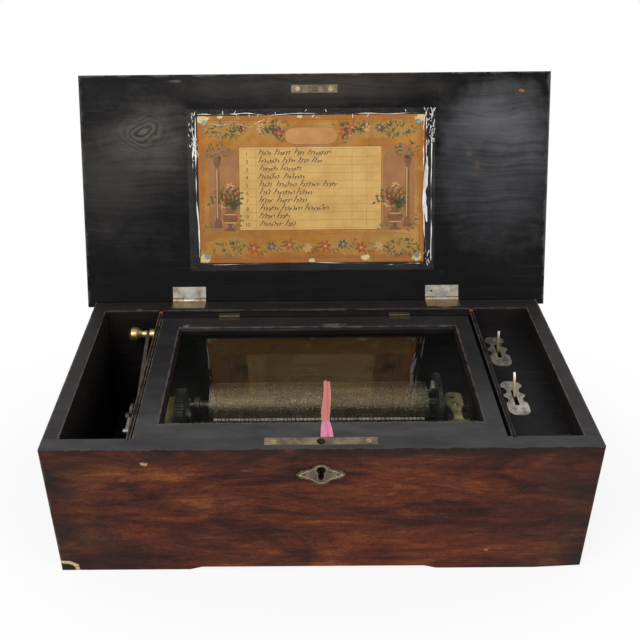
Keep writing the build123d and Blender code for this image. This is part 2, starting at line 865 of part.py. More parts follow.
def glass_lid_frame_piece():
    """Four mitred rails, moulded round the opening and rebated below for the pane."""
    outer, inner = glass_corners()
    opening = prism_z(inner, glass_bottom - 1, glass_top + 1)
    moulding = chamfer(block(open_left - glass_moulding, open_right + glass_moulding, open_front - glass_moulding,
                             open_back + glass_moulding, glass_top - glass_moulding, glass_top + 1)
                       .faces().sort_by(Axis.Z)[0].edges(), glass_moulding - 0.01)
    rebate = block(open_left - pane_rebate, open_right + pane_rebate, open_front - pane_rebate,
                   open_back + pane_rebate, glass_bottom - 1, pane_top)
    rails = []
    for index in range(4):
        after = (index + 1) % 4
        rail = prism_z([outer[index], outer[after], inner[after], inner[index]], glass_bottom, glass_top)
        rails.append((rail - moulding - opening - rebate).solids()[0])
    return Compound(rails)


def glass_pane_piece():
    edge = pane_rebate - pane_fit
    return block(open_left - edge, open_right + edge, open_front - edge, open_back + edge,
                 pane_top - pane_thickness, pane_top)


def glass_beads_piece():
    """Four thin strips that hold the pane up in its rebate."""
    top = pane_top - pane_thickness
    x0, x1 = open_left - pane_rebate, open_right + pane_rebate
    y0, y1 = open_front - pane_rebate, open_back + pane_rebate
    front = block(x0, x1, y0, open_front, glass_bottom, top)
    back = block(x0, x1, open_back, y1, glass_bottom, top)
    left = block(x0, open_left, open_front, open_back, glass_bottom, top)
    right = block(open_right, x1, open_front, open_back, glass_bottom, top)
    return Compound([front, back, left, right])


def glass_hinge_leaf(middle, on_lid):
    """One leaf of a small surface hinge, with the outer knuckles on the rail and the middle one on the lid."""
    x0 = middle - glass_hinge_width / 2
    third = glass_hinge_width / 3
    reach = -glass_leaf if on_lid else glass_leaf
    edge = glass_back if on_lid else rail_front
    y0, y1 = sorted((edge + reach, glass_axis_y))
    leaf = block(x0, x0 + glass_hinge_width, y0, y1, glass_top, glass_top + glass_leaf_thickness)
    mine = (1,) if on_lid else (0, 2)
    gap = knuckle_gap / 2
    for index in range(3):
        a = x0 + third * index
        if index in mine:
            leaf += rod_x(a + gap, a + third - gap, glass_axis_y, glass_axis_z, glass_knuckle_radius)
        else:
            clear = glass_knuckle_radius + knuckle_gap
            leaf -= block(a - gap, a + third + gap, glass_axis_y - clear, glass_axis_y + clear,
                          glass_top - 1, glass_top + 5)
    bore = glass_pin_radius + (running_fit if on_lid else 0)
    return leaf - rod_x(x0 - 1, x0 + glass_hinge_width + 1, glass_axis_y, glass_axis_z, bore)


def glass_hinge_rail_leaves():
    return Compound([glass_hinge_leaf(x, False) for x in (glass_hinge_left, glass_hinge_right)])


def glass_hinge_lid_leaves():
    return Compound([glass_hinge_leaf(x, True) for x in (glass_hinge_left, glass_hinge_right)])


def glass_hinge_pins_piece():
    half = glass_hinge_width / 2
    return Compound([rod_x(x - half, x + half, glass_axis_y, glass_axis_z, glass_pin_radius)
                     for x in (glass_hinge_left, glass_hinge_right)])


def ribbon_pull_piece():
    """The pull ribbon, lying back from the front rail over the moulding onto the pane."""
    foot = open_front + ribbon_reach
    under = [(glass_front, glass_top), (open_front - glass_moulding, glass_top), (foot, pane_top), (ribbon_end, pane_top)]
    over = [(ribbon_end, pane_top + ribbon_thickness), (foot + ribbon_thickness / 2, pane_top + ribbon_thickness),
            (open_front - glass_moulding + ribbon_thickness / 2, glass_top + ribbon_thickness),
            (glass_front, glass_top + ribbon_thickness)]
    outline = under + over
    return prism_x(outline, ribbon_place - ribbon_width / 2, ribbon_place + ribbon_width / 2)


# ---- controls ----
def control_slot(place, z0, z1):
    half = slot_length / 2
    return block(lever_column - slot_width / 2, lever_column + slot_width / 2, place - half, place + half, z0, z1)


def plate_screw_places(place):
    return (place - plate_screw_spread / 2, place + plate_screw_spread / 2)


def control_plate(place):
    """A slotted plate with round ends and two scallops down each side."""
    half = plate_length / 2
    wide = plate_half_width
    top = control_top + plate_thickness
    plate = block(lever_column - wide, lever_column + wide, place - half, place + half, control_top, top)
    plate = fillet(plate.edges().filter_by(Axis.Z), wide * 0.7)
    for side in (-1, 1):
        edge = lever_column + side * (wide + plate_scallop_outset)
        plate -= rod_z(edge, place + half * plate_back_scallop_share, control_top - 1, top + 1, plate_back_scallop)
        plate -= rod_z(edge, place - half * plate_front_scallop_share, control_top - 1, top + 1, plate_front_scallop)
    plate -= control_slot(place, control_top - 1, top + 1)
    for y in plate_screw_places(place):
        plate -= rod_z(lever_column, y, control_top - 1, top + 1, plate_screw_radius)
    return plate


def control_plates_piece():
    return Compound([control_plate(place) for place in (start_place, change_place)])


def control_plate_screws_piece():
    top = control_top + plate_thickness
    screws = [rod_z(lever_column, y, top, top + plate_screw_head_height, plate_screw_radius * 1.8)
              + rod_z(lever_column, y, control_top - plate_screw_length, top, plate_screw_radius)
              for place in (start_place, change_place) for y in plate_screw_places(place)]
    return Compound(screws)


def control_lever(y, lean_back):
    """A flat bar on a pivot over the bedplate, with an upright that ends in a pointer above its slot."""
    top = bar_bottom + bar_thickness
    x0 = lever_column + upright_shift - upright_width / 2
    x1 = x0 + upright_width
    bar = block(lever_pivot_x, x1, y - bar_width / 2, y + bar_width / 2, bar_bottom, top)
    bar += rod_z(lever_pivot_x, y, bar_bottom, top, bar_width)
    half = upright_depth / 2
    points = [(y - half, bar_bottom), (y + half, bar_bottom), (y + half, control_top),
              (y + lean_back + pointer_tip / 2, lever_tip_z), (y + lean_back - pointer_tip / 2, lever_tip_z),
              (y - half, control_top)]
    bar += prism_x(points, x0, x1)
    return bar - rod_z(lever_pivot_x, y, bar_bottom - 1, top + 1, machine_screw_radius + running_fit)


def start_lever_piece():
    """The start and stop lever, whose finger reaches beside the governor's fan."""
    y = start_place + start_rest
    lever = control_lever(y, start_lean)
    x0 = worm_x + fan_radius + stop_finger_gap
    arm = worm_x + governor_base_width / 2 + stop_finger_gap
    half = stop_arm_width / 2
    top = bar_bottom + bar_thickness
    finger = worm_y - stop_finger_back
    lever += block(arm, arm + stop_arm_width, y, finger + half, bar_bottom, top)
    lever += block(arm, arm + stop_arm_width, finger - half, finger + half, bar_bottom, fan_bottom + fan_height / 2)
    lever += block(x0, arm, finger - half, finger + half, fan_bottom, fan_bottom + fan_height / 2)
    return lever


def change_lever_piece():
    return control_lever(change_place + change_rest, change_lean)


# ---- movement ----
def bedplate_corners():
    return [(x, y) for x in (bedplate_left + pillar_inset_side, bedplate_right - pillar_inset_side)
            for y in (bedplate_front + pillar_inset_end, bedplate_back - pillar_inset_end)]


def lever_pivot_places():
    return ((lever_pivot_x, start_place + start_rest), (lever_pivot_x, change_place + change_rest))


def comb_screw_places():
    step = (comb_right - comb_left) / 6
    y = (comb_heel + comb_root) / 2
    return [(comb_left + step * (index + 0.5), y) for index in range(6)]


def governor_leg_places():
    half = flange_screw_spread / 2
    return ((worm_x - half, cock_front), (worm_x + half, cock_front))


def bedplate_piece():
    plate = block(bedplate_left, bedplate_right, bedplate_front, bedplate_back, bedplate_bottom, bedplate_top)
    plate = fillet(plate.edges().filter_by(Axis.Z), bedplate_corner_radius)
    seat = bedplate_top - machine_screw_head_height
    for x, y in bedplate_corners():
        plate -= machine_hole(x, y, bedplate_top, bedplate_thickness)
        plate -= rod_z(x, y, seat, bedplate_top, machine_screw_head)
    for x, y in lever_pivot_places():
        plate -= machine_hole(x, y, bedplate_top, bedplate_thickness)
    plate -= rod_z(worm_x, worm_y, bedplate_top - 2, bedplate_top + 1, worm_arbor_radius + running_fit)
    return plate


def bedplate_pillars_piece():
    pillars = [rod_z(x, y, bottom_board, bedplate_bottom, pillar_radius)
               - rod_z(x, y, bedplate_bottom - pillar_thread, bedplate_bottom + 1, machine_screw_radius)
               for x, y in bedplate_corners()]
    return Compound(pillars)


def comb_piece():
    """The steel comb: a heel screwed to its base, and tuned teeth that end just short of the cylinder."""
    comb = block(comb_left, comb_right, comb_heel, comb_tip, comb_top - comb_thickness, comb_top)
    comb += block(comb_left, comb_right, comb_heel, comb_root, comb_top - comb_thickness,
                  comb_top - comb_thickness + comb_heel_thickness)
    pitch = (comb_right - comb_left) / comb_teeth
    gaps = []
    for index in range(1, comb_teeth):
        x = comb_left + pitch * index
        gaps.append(block(x - comb_gap / 2, x + comb_gap / 2, comb_root + 1, comb_tip + 1,
                          comb_top - comb_thickness - 1, comb_top + 1))
    comb -= gaps
    for x, y in comb_screw_places():
        comb -= rod_z(x, y, comb_top - comb_thickness - 1, comb_top + comb_heel_thickness, machine_screw_radius)
    return comb


def comb_base_piece():
    under = comb_top - comb_thickness
    base = block(comb_left, comb_right, comb_heel, comb_root - comb_base_setback, bedplate_top, under)
    for x, y in comb_screw_places():
        base -= rod_z(x, y, under - comb_thread, under + 1, machine_screw_radius)
    return base


def movement_screws_piece():
    """Bedplate bolts, lever pivots, comb screws and the governor cock's screws."""
    seat = bedplate_top - machine_screw_head_height
    bolt = seat - bedplate_bottom + pillar_thread
    screws = [machine_screw(x, y, seat, bolt) for x, y in bedplate_corners()]
    pivot_seat = bar_bottom + bar_thickness + pivot_play
    screws += [machine_screw(x, y, pivot_seat, pivot_seat - bedplate_bottom) for x, y in lever_pivot_places()]
    heel_top = comb_top - comb_thickness + comb_heel_thickness
    screws += [machine_screw(x, y, heel_top, comb_heel_thickness + comb_thread) for x, y in comb_screw_places()]
    flange_top = cock_top - cock_thickness / 2
    screws += [machine_screw(x, y, flange_top, cock_screw_length) for x, y in governor_leg_places()]
    return Compound(screws)


def bearing_bracket(x0, width, y, z, half, bore):
    """An upright plate with a round head, a bored hole and a foot on the bedplate."""
    x1 = x0 + width
    bracket = block(x0, x1, y - half, y + half, bedplate_top, z) + rod_x(x0, x1, y, z, half)
    return bracket - rod_x(x0 - 1, x1 + 1, y, z, bore)


def bearings_piece():
    """The brackets of the cylinder's arbor and of the winding arbor."""
    arbor_bore = arbor_radius + running_fit
    winding_bore = winding_radius + running_fit
    left = bearing_bracket(left_bearing_from, left_bearing_width, cylinder_y, cylinder_z, bearing_half_width, arbor_bore)
    right = bearing_bracket(right_bearing_from, right_bearing_width, cylinder_y, cylinder_z, bearing_half_width,
                            arbor_bore)
    outer = bearing_bracket(drum_left - 1 - barrel_bracket, barrel_bracket, barrel_y, barrel_z, barrel_bracket_half,
                            winding_bore)
    inner = bearing_bracket(barrel_wheel_left + barrel_wheel_width + barrel_bracket_gap, barrel_bracket, barrel_y,
                            barrel_z, barrel_bracket_half, winding_bore)
    return Compound([left, right, outer, inner])


# ---- cylinder ----
def cylinder_shell_piece():
    return (rod_x(cylinder_left, cylinder_right, cylinder_y, cylinder_z, cylinder_radius)
            - rod_x(cylinder_left - 1, cylinder_right + 1, cylinder_y, cylinder_z, cylinder_radius - cylinder_shell))


def post_places():
    return [(cylinder_y + post_circle * cos(radians(post_angle + index * 360 / post_count)),
             cylinder_z + post_circle * sin(radians(post_angle + index * 360 / post_count)))
            for index in range(post_count)]


def snail_place():
    return (cylinder_y + snail_circle * cos(radians(snail_angle)), cylinder_z + snail_circle * sin(radians(snail_angle)))


def follower_place():
    """The cylinder's follower pin touches the snail on the side nearest the arbor."""
    y, z = snail_place()
    inward = snail_radius * 0.7
    return (y - inward * cos(radians(snail_angle)), z - inward * sin(radians(snail_angle)))


def cylinder_caps_piece():
    """The end discs, which slide on the arbor: a hub on the left one, and on the right one the holes for the
    driving posts, and the follower pin."""
    inner = cylinder_radius - cylinder_shell
    arbor_bore = arbor_radius + running_fit
    left = (rod_x(cylinder_left, cylinder_left + cap_thickness, cylinder_y, cylinder_z, inner)
            + rod_x(cylinder_left - cap_hub, cylinder_left, cylinder_y, cylinder_z, collar_radius)
            - rod_x(cylinder_left - cap_hub - 1, cylinder_left + cap_thickness + 1, cylinder_y, cylinder_z, arbor_bore))
    right = (rod_x(cylinder_right - cap_thickness, cylinder_right, cylinder_y, cylinder_z, inner)
             - rod_x(cylinder_right - cap_thickness - 1, cylinder_right + 1, cylinder_y, cylinder_z, arbor_bore))
    for y, z in post_places():
        right -= rod_x(cylinder_right - cap_thickness - 1, cylinder_right + 1, y, z, post_radius + running_fit * 2)
    y, z = follower_place()
    right += rod_x(cylinder_right - 1, snail_face() - follower_clearance - snail_top(), y, z, follower_radius)
    return Compound([left, right])


def snail_face():
    """The plane of the snail's flat side, which faces the great wheel."""
    return great_wheel_left - 1.0


def snail_top():
    """The most that the snail stands out from that plane."""
    return snail_thickness + snail_rise * (snail_steps - 1)


def tune_snail_piece():
    """A face cam of equal steps: turning it lets the cylinder move along by one tune at a time."""
    y, z = snail_place()
    face = snail_face()
    snail = Part()
    half = 180 / snail_steps
    for step in range(snail_steps):
        height = snail_top() - snail_rise * step
        middle = snail_angle + 180 - step * 2 * half
        a0 = radians(middle - half)
        a1 = radians(middle + half)
        wide = snail_radius / cos(radians(half))
        points = [(y, z), (y + wide * cos(a0), z + wide * sin(a0)), (y + wide * cos(a1), z + wide * sin(a1))]
        snail += prism_x(points, face - height, face)
    return snail - rod_x(face - snail_top() - 1, face + 1, y, z, snail_stud + running_fit)


def cylinder_arbor_piece():
    """The arbor, with the collar that the shift spring bears on."""
    left = barrel_wheel_left - 1
    arbor = rod_x(left, right_bearing_from + right_bearing_width + 1.5, cylinder_y, cylinder_z, arbor_radius)
    collar_left = left_bearing_from + left_bearing_width + 0.5
    arbor += rod_x(collar_left, collar_left + collar_width, cylinder_y, cylinder_z, collar_radius)
    return arbor


def shift_spring_piece():
    """The coil spring between the arbor's collar and the hub of the cylinder's left cap."""
    start = left_bearing_from + left_bearing_width + 0.5 + collar_width + spring_wire
    pitch = (cylinder_left - cap_hub - spring_wire - start) / spring_turns
    print("shift spring: gap between turns", round(pitch - 2 * spring_wire, 3))
    return coil(Vector(start, cylinder_y, cylinder_z), Vector(1, 0, 0), Vector(0, 1, 0),
                spring_radius, pitch, spring_turns, spring_wire)


def cylinder_pinion_piece():
    gap = barrel_angle
    return gear_x(pinion_teeth, barrel_module, gap, barrel_wheel_left, barrel_wheel_left + barrel_wheel_width,
                  cylinder_y, cylinder_z, arbor_radius)


def great_wheel_piece():
    """The great wheel, with the driving posts that carry the cylinder round and the snail's stud."""
    right = great_wheel_left + great_wheel_width
    wheel = gear_x(great_teeth, great_module, lay_angle, great_wheel_left, right, cylinder_y, cylinder_z, arbor_radius)
    for y, z in post_places():
        wheel += rod_x(cylinder_right - cap_thickness - 1, great_wheel_left, y, z, post_radius)
    y, z = snail_place()
    wheel += rod_x(snail_face() - snail_top() - 0.5, great_wheel_left, y, z, snail_stud)
    return wheel


# ---- spring barrel and winding lever ----
def barrel_drum_piece():
    right = barrel_wheel_left
    drum = rod_x(drum_left, right, barrel_y, barrel_z, drum_radius)
    drum -= rod_x(drum_left + drum_wall, right + 1, barrel_y, barrel_z, drum_radius - drum_wall)
    return drum - rod_x(drum_left - 1, right + 1, barrel_y, barrel_z, winding_radius + running_fit)


def barrel_great_wheel_piece():
    """The toothed wheel that closes the drum; a tooth of it stands in the pinion's gap."""
    tooth_middle = barrel_angle + 180 + 180 / barrel_teeth
    right = barrel_wheel_left + barrel_wheel_width
    return gear_x(barrel_teeth, barrel_module, tooth_middle, barrel_wheel_left, right, barrel_y, barrel_z,
                  winding_radius + running_fit)


def mainspring_piece():
    """The mainspring: a flat strip of half-turn arcs, wound about the arbor inside the drum."""
    first = winding_radius + 1.5
    step = mainspring_pitch / 2
    inner = []
    outer = []
    for half_turn in range(mainspring_turns * 2):
        centre = step / 2 if half_turn % 2 else -step / 2
        way = -1 if half_turn % 2 else 1
        for edges, radius in ((inner, first + step * half_turn), (outer, first + step * half_turn + mainspring_strip)):
            a = (centre - way * -radius, 0)
            edges.append(ThreePointArc((centre + way * radius, 0), (centre, way * radius), (centre - way * radius, 0)))
    ends = [Line(inner[0] @ 0, outer[0] @ 0), Line(inner[-1] @ 1, outer[-1] @ 1)]
    strip = make_face(Wire(inner + outer + ends))
    flat = extrude(strip, amount=mainspring_width)
    x0 = (drum_left + drum_wall + barrel_wheel_left - mainspring_width) / 2
    return Plane(origin=(x0, barrel_y, barrel_z), x_dir=(0, 1, 0), z_dir=(1, 0, 0)) * flat


def winding_arbor_piece():
    return rod_x(nut_from(), barrel_wheel_left + barrel_wheel_width + 1.5 + barrel_bracket + 1, barrel_y, barrel_z,
                 winding_radius)


def nut_from():
    return ratchet_from - 0.5 - nut_width


def ratchet_wheel_piece():
    """The ratchet, with saw teeth, and the arbor's nut outside it."""
    points = []
    for tooth in range(ratchet_teeth):
        a = 2 * pi * tooth / ratchet_teeth
        b = 2 * pi * (tooth + 0.92) / ratchet_teeth
        points.append((barrel_y + ratchet_radius * cos(a), barrel_z + ratchet_radius * sin(a)))
        low = ratchet_radius - ratchet_depth
        points.append((barrel_y + low * cos(b), barrel_z + low * sin(b)))
    wheel = prism_x(points, ratchet_from, ratchet_from + ratchet_thickness)
    wheel += rod_x(nut_from(), ratchet_from, barrel_y, barrel_z, nut_radius)
    return wheel - rod_x(nut_from() - 1, ratchet_from + ratchet_thickness + 1, barrel_y, barrel_z, winding_radius)


def winding_lever_piece():
    """The winding lever: a hub on the arbor and a bar that ends in an eye for the handle's pin."""
    x0, x1 = lever_from, lever_from + lever_thickness
    lever = rod_x(x0, -shelf_side - lever_hub_gap, barrel_y, barrel_z, lever_hub_radius)
    lever += rod_x(x0, x1, handle_y, handle_z, lever_bar_width / 2)
    side = (-sin(radians(lever_angle)) * lever_bar_width / 2, cos(radians(lever_angle)) * lever_bar_width / 2)
    lever += prism_x([(barrel_y + side[0], barrel_z + side[1]), (handle_y + side[0], handle_z + side[1]),
                      (handle_y - side[0], handle_z - side[1]), (barrel_y - side[0], barrel_z - side[1])], x0, x1)
    lever -= rod_x(x0 - 1, -shelf_side, barrel_y, barrel_z, winding_radius)
    return lever - rod_x(x0 - 1, x1 + 1, handle_y, handle_z, handle_pin_radius)


def winding_handle_piece():
    """The turned handle across the lever's end: a thick left end, a neck, and a flared collar past the lever."""
    left, right = handle_left, handle_right
    knob_end = left + handle_knob
    inner = lever_from + lever_thickness
    profile = [(left, 0), (left, handle_radius - handle_round), (left + handle_round, handle_radius),
               (knob_end - handle_round, handle_radius), (knob_end, handle_radius - handle_step),
               (knob_end + handle_round, handle_neck), (lever_from, handle_neck + handle_neck_swell),
               (lever_from, handle_pin_radius), (inner, handle_pin_radius), (inner, handle_flare),
               (right - 1, handle_flare), (right, handle_neck), (right, 0)]
    face = make_face(Polyline(*[(x, handle_y, handle_z + r) for x, r in profile], close=True))
    return revolve(face, Axis((0, handle_y, handle_z), (1, 0, 0)), 360)


def winding_click_piece():
    """The click: a short pawl on a stud, whose tip lies just clear above the ratchet's teeth."""
    x0, x1 = ratchet_from, ratchet_from + click_thickness
    points = [(click_tip_y, click_tip_z), (click_tip_y - click_nose_back, click_tip_z + click_nose_height),
              (click_pivot_y, click_pivot_z + click_half), (click_pivot_y, click_pivot_z - click_half),
              (click_tip_y - click_heel, click_tip_z - 1)]
    click = prism_x(points, x0, x1) + rod_x(x0, x1, click_pivot_y, click_pivot_z, click_half)
    return click - rod_x(x0 - 1, x1 + 1, click_pivot_y, click_pivot_z, click_pivot_radius + running_fit)


def click_stud_piece():
    """The stud from the partition that the click turns on, with a screw head outside it."""
    x0 = ratchet_from - 0.3
    stud = rod_x(x0, -well_side, click_pivot_y, click_pivot_z, click_pivot_radius)
    stud += rod_x(x0 - 2, x0, click_pivot_y, click_pivot_z, click_pivot_radius * 2)
    spacer = ratchet_from + click_thickness + 0.3
    return stud + rod_x(spacer, -shelf_side, click_pivot_y, click_pivot_z, click_pivot_radius * 1.8)


# ---- governor ----
def governor_frame_piece():
    """The governor's base, its two side plates for the lay arbor, and the legs that carry the cock."""
    foot = bedplate_top + governor_base
    top = lay_z + lay_bearing_half
    half = governor_base_width / 2
    base = block(worm_x - half, worm_x + half, cock_front - governor_base_front,
                 cock_back - governor_base_back, bedplate_top, foot)
    well_x = worm_wheel_width / 2 + worm_wheel_gap
    well_y = worm_wheel_radius + worm_module + worm_wheel_gap
    base -= block(worm_x - well_x, worm_x + well_x, lay_y - well_y, lay_y + well_y, bedplate_top - 1, foot + 1)
    frame = base - rod_z(worm_x, worm_y, bedplate_top - 1, foot + 1, worm_arbor_radius + running_fit)
    for x in (governor_left_plate, governor_right_plate):
        frame += block(x, x + governor_plate, lay_y - lay_bearing_half,
                       lay_y + lay_bearing_half, foot, top)
        frame -= rod_x(x - 1, x + governor_plate + 1, lay_y, lay_z, lay_arbor_radius + running_fit)
    for x, y in governor_leg_places():
        frame += rod_z(x, y, foot, cock_top - cock_thickness * 1.5, post_leg_radius)
        frame -= machine_hole(x, y, cock_top, cock_thread)
    return frame


def governor_cock_piece():
    """The top cock: a wide round head over the fan, a neck, and a lower flange with its two screws."""
    z0, z1 = cock_top - cock_thickness, cock_top
    half = cock_width / 2
    head_middle = (worm_y + cock_back - half) / 2
    cock = block(worm_x - half, worm_x + half, worm_y - cock_worm_cover, cock_back, z0, z1)
    cock = fillet(cock.edges().filter_by(Axis.Z), cock_corner_radius)
    shoulder = half - cock_neck_inset
    cock += prism_z([(worm_x - shoulder, worm_y), (worm_x - cock_neck / 2, cock_front + flange_depth / 2),
                     (worm_x + cock_neck / 2, cock_front + flange_depth / 2), (worm_x + shoulder, worm_y)], z0, z1)
    low = z0 - cock_thickness / 2
    cock += block(worm_x - cock_neck / 2, worm_x + cock_neck / 2, cock_front, cock_front + flange_depth / 2, low, z1)
    cock += block(worm_x - flange_width / 2, worm_x + flange_width / 2, cock_front - flange_depth / 2,
                  cock_front + flange_depth / 2, low, cock_top - cock_thickness / 2)
    for x, y in governor_leg_places():
        cock -= machine_hole(x, y, cock_top, cock_thread)
    cock -= block(worm_x - cock_slot_half, worm_x + cock_slot_half, head_middle + cock_slot_from,
                  head_middle + cock_slot_to, z0 - 1, z1 + 1)
    cock += rod_z(worm_x, worm_y, z1, z1 + jewel_height, jewel_radius)
    return cock - rod_z(worm_x, worm_y, z0 - 1, z1 + jewel_height / 2, worm_arbor_radius + running_fit)


def lay_arbor_piece():
    """The lay arbor: its pinion meshes with the great wheel, and its worm wheel turns the fan."""
    x0 = great_wheel_left - 1
    arbor = rod_x(x0, governor_right_plate + governor_plate + 1, lay_y, lay_z, lay_arbor_radius)
    gap = lay_angle + 180 + 180 / lay_teeth
    arbor += gear_x(lay_teeth, great_module, gap, x0, great_wheel_left + great_wheel_width + 1, lay_y, lay_z,
                    lay_arbor_radius / 2)
    half = worm_wheel_width / 2
    return arbor + gear_x(worm_teeth, worm_module, 180, worm_x - half, worm_x + half, lay_y, lay_z,
                          lay_arbor_radius / 2)


def governor_worm_piece():
    """The endless screw, with the two-winged fan on its arbor."""
    lead = pi * worm_module
    start_z = lay_z - lead * (worm_turns // 2 + 0.25)
    top_z = start_z + lead * worm_turns
    print("worm: gap between turns", round(lead - 2 * worm_thread, 3))
    thread = coil(Vector(worm_x, worm_y, start_z), Vector(0, 0, 1), Vector(1, 0, 0), worm_radius, lead, worm_turns,
                  worm_thread)
    core = rod_z(worm_x, worm_y, start_z - worm_thread, top_z + worm_thread, worm_radius - worm_thread * 0.6)
    worm = core + thread
    worm += rod_z(worm_x, worm_y, bedplate_top - worm_step_depth, cock_top + worm_head_end, worm_arbor_radius)
    half = fan_thickness / 2
    worm += block(worm_x - half, worm_x + half, worm_y - fan_radius, worm_y + fan_radius,
                  fan_bottom, fan_bottom + fan_height)
    return worm


nodes = {
    "case_front": case_front_board(),
    "case_back": case_back_board(),
    "case_left": case_side_board(-1),
    "case_right": case_side_board(1),
    "case_bottom": case_bottom_board(),
    "left_partition": partition_board(-1),
    "right_partition": partition_board(1),
    "control_board": control_board_piece(),
    "rear_rail": rear_rail_piece(),
    "inner_ledges": inner_ledges_piece(),
    "lock_case": lock_case_piece(),
    "lock_bolt": lock_bolt_piece(),
    "escutcheon": escutcheon_piece(),
    "lid_board": lid_board_piece(),
    "hinge_lower_leaves": lid_hinge_lower_leaves(),
    "hinge_upper_leaves": lid_hinge_upper_leaves(),
    "hinge_pins": lid_hinge_pins_piece(),
    "case_screws": case_screws_piece(),
    "lid_screws": lid_screws_piece(),
    "catch_plate": catch_plate_piece(),
    "tune_card": tune_card_piece(),
    "card_film": card_film_piece(),
    "card_pins": card_pins_piece(),
    "glass_lid_frame": glass_lid_frame_piece(),
    "glass_pane": glass_pane_piece(),
    "glass_beads": glass_beads_piece(),
    "glass_hinge_rail_leaves": glass_hinge_rail_leaves(),
    "glass_hinge_lid_leaves": glass_hinge_lid_leaves(),
    "glass_hinge_pins": glass_hinge_pins_piece(),
    "ribbon_pull": ribbon_pull_piece(),
    "control_plates": control_plates_piece(),
    "control_plate_screws": control_plate_screws_piece(),
    "start_lever": start_lever_piece(),
    "change_lever": change_lever_piece(),
    "bedplate": bedplate_piece(),
    "bedplate_pillars": bedplate_pillars_piece(),
    "movement_screws": movement_screws_piece(),
    "movement_bearings": bearings_piece(),
    "comb": comb_piece(),
    "comb_base": comb_base_piece(),
    "cylinder_shell": cylinder_shell_piece(),
    "cylinder_caps": cylinder_caps_piece(),
    "cylinder_arbor": cylinder_arbor_piece(),
    "cylinder_pinion": cylinder_pinion_piece(),
    "great_wheel": great_wheel_piece(),
    "tune_snail": tune_snail_piece(),
    "shift_spring": shift_spring_piece(),
    "barrel_drum": barrel_drum_piece(),
    "barrel_wheel": barrel_great_wheel_piece(),
    "mainspring": mainspring_piece(),
    "winding_arbor": winding_arbor_piece(),
    "ratchet_wheel": ratchet_wheel_piece(),
    "winding_lever": winding_lever_piece(),
    "winding_handle": winding_handle_piece(),
    "winding_click": winding_click_piece(),
    "click_stud": click_stud_piece(),
    "governor_frame": governor_frame_piece(),
    "governor_cock": governor_cock_piece(),
    "lay_arbor": lay_arbor_piece(),
    "governor_worm": governor_worm_piece(),
}

os.makedirs("parts", exist_ok=True)
for name, shape in nodes.items():
    export_step(shape, f"parts/{name}.step")
print(len(nodes), "nodes")
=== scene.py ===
"""Looks of a lever-wound cylinder music box, lid open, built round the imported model. Lengths are in millimetres,
and in metres inside the shader nodes."""
import json

import bpy
import numpy as np
from mathutils import Matrix, Vector


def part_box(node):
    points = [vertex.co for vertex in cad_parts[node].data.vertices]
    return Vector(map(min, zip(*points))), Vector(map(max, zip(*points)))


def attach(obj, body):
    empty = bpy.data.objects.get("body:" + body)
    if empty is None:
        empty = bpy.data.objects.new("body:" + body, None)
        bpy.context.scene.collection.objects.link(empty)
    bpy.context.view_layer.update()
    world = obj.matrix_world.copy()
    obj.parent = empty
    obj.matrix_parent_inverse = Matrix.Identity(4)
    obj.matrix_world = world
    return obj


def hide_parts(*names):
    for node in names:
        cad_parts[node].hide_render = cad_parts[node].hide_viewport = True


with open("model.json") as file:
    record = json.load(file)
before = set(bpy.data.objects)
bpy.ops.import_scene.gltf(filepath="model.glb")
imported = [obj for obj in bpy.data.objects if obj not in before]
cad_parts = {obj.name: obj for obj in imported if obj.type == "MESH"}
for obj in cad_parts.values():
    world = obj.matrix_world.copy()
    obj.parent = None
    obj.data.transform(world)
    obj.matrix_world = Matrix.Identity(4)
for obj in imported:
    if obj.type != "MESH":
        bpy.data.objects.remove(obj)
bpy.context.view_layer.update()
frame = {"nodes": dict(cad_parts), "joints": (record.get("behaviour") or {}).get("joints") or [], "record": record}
MM = 0.001
rng = np.random.default_rng(7)


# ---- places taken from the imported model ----
def node_box(node):
    """Lowest and highest corner of a node, in millimetres."""
    low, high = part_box(node)
    return np.array(low) / MM, np.array(high) / MM


def joint(name):
    return next(j for j in frame["joints"] if j["name"] == name)


def joint_place(name):
    return np.array(joint(name)["pos_m"]) / MM


LEAN = np.radians(joint("lid_hinge")["range_deg"][1] - 90)
LID_AXIS = joint_place("lid_hinge")
CYLINDER_AXIS = joint_place("cylinder_spin")
CARD_X = np.array([corner[0] for corner in node_box("tune_card")])
CARD_FOOT = 45.0
CARD_HEAD = 216.0
CARD_FACE = 0.8
LID_THICKNESS = 12.5
FILM_FOOT = 35.5
FILM_HEAD = 223.5
ORIGIN = (0.0, 0.0, 0.0)
WOOD_SHINE = 0.07
KNOT_STRETCH = (1.0, 1.0, 1.5)
KNOT_SHIFT = 13
SIDE, FRONT, BACK, TOP = 260, -126, 126, 159
VENEER_EDGES = (((-SIDE, FRONT, TOP), (SIDE, FRONT, TOP), 2.2, (0.085, 0.075, 0.072), 0.8),
                ((-SIDE, FRONT, 5), (-SIDE, FRONT, 156), 2.4, (0.16, 0.1, 0.07), 0.55),
                ((SIDE, FRONT, 5), (SIDE, FRONT, 156), 2.0, (0.11, 0.06, 0.04), 0.5))
VENEER_SPOTS = (((-166, FRONT, 141), (3.6, 3, 1.7), 1.3, 0.5, (0.42, 0.31, 0.2), 0.85),
                ((164, FRONT, 25), (2.2, 3, 1.6), 0.5, 0.4, (0.3, 0.2, 0.11), 0.9),
                ((-70, FRONT, 132), (7, 3, 1.2), 0.6, 0.6, (0.2, 0.11, 0.06), 0.5),
                ((195, FRONT, 112), (16, 3, 7), 0.7, 0.9, (0.014, 0.01, 0.01), 0.8),
                ((90, FRONT, 62), (26, 3, 10), 0.7, 0.9, (0.018, 0.011, 0.01), 0.6))


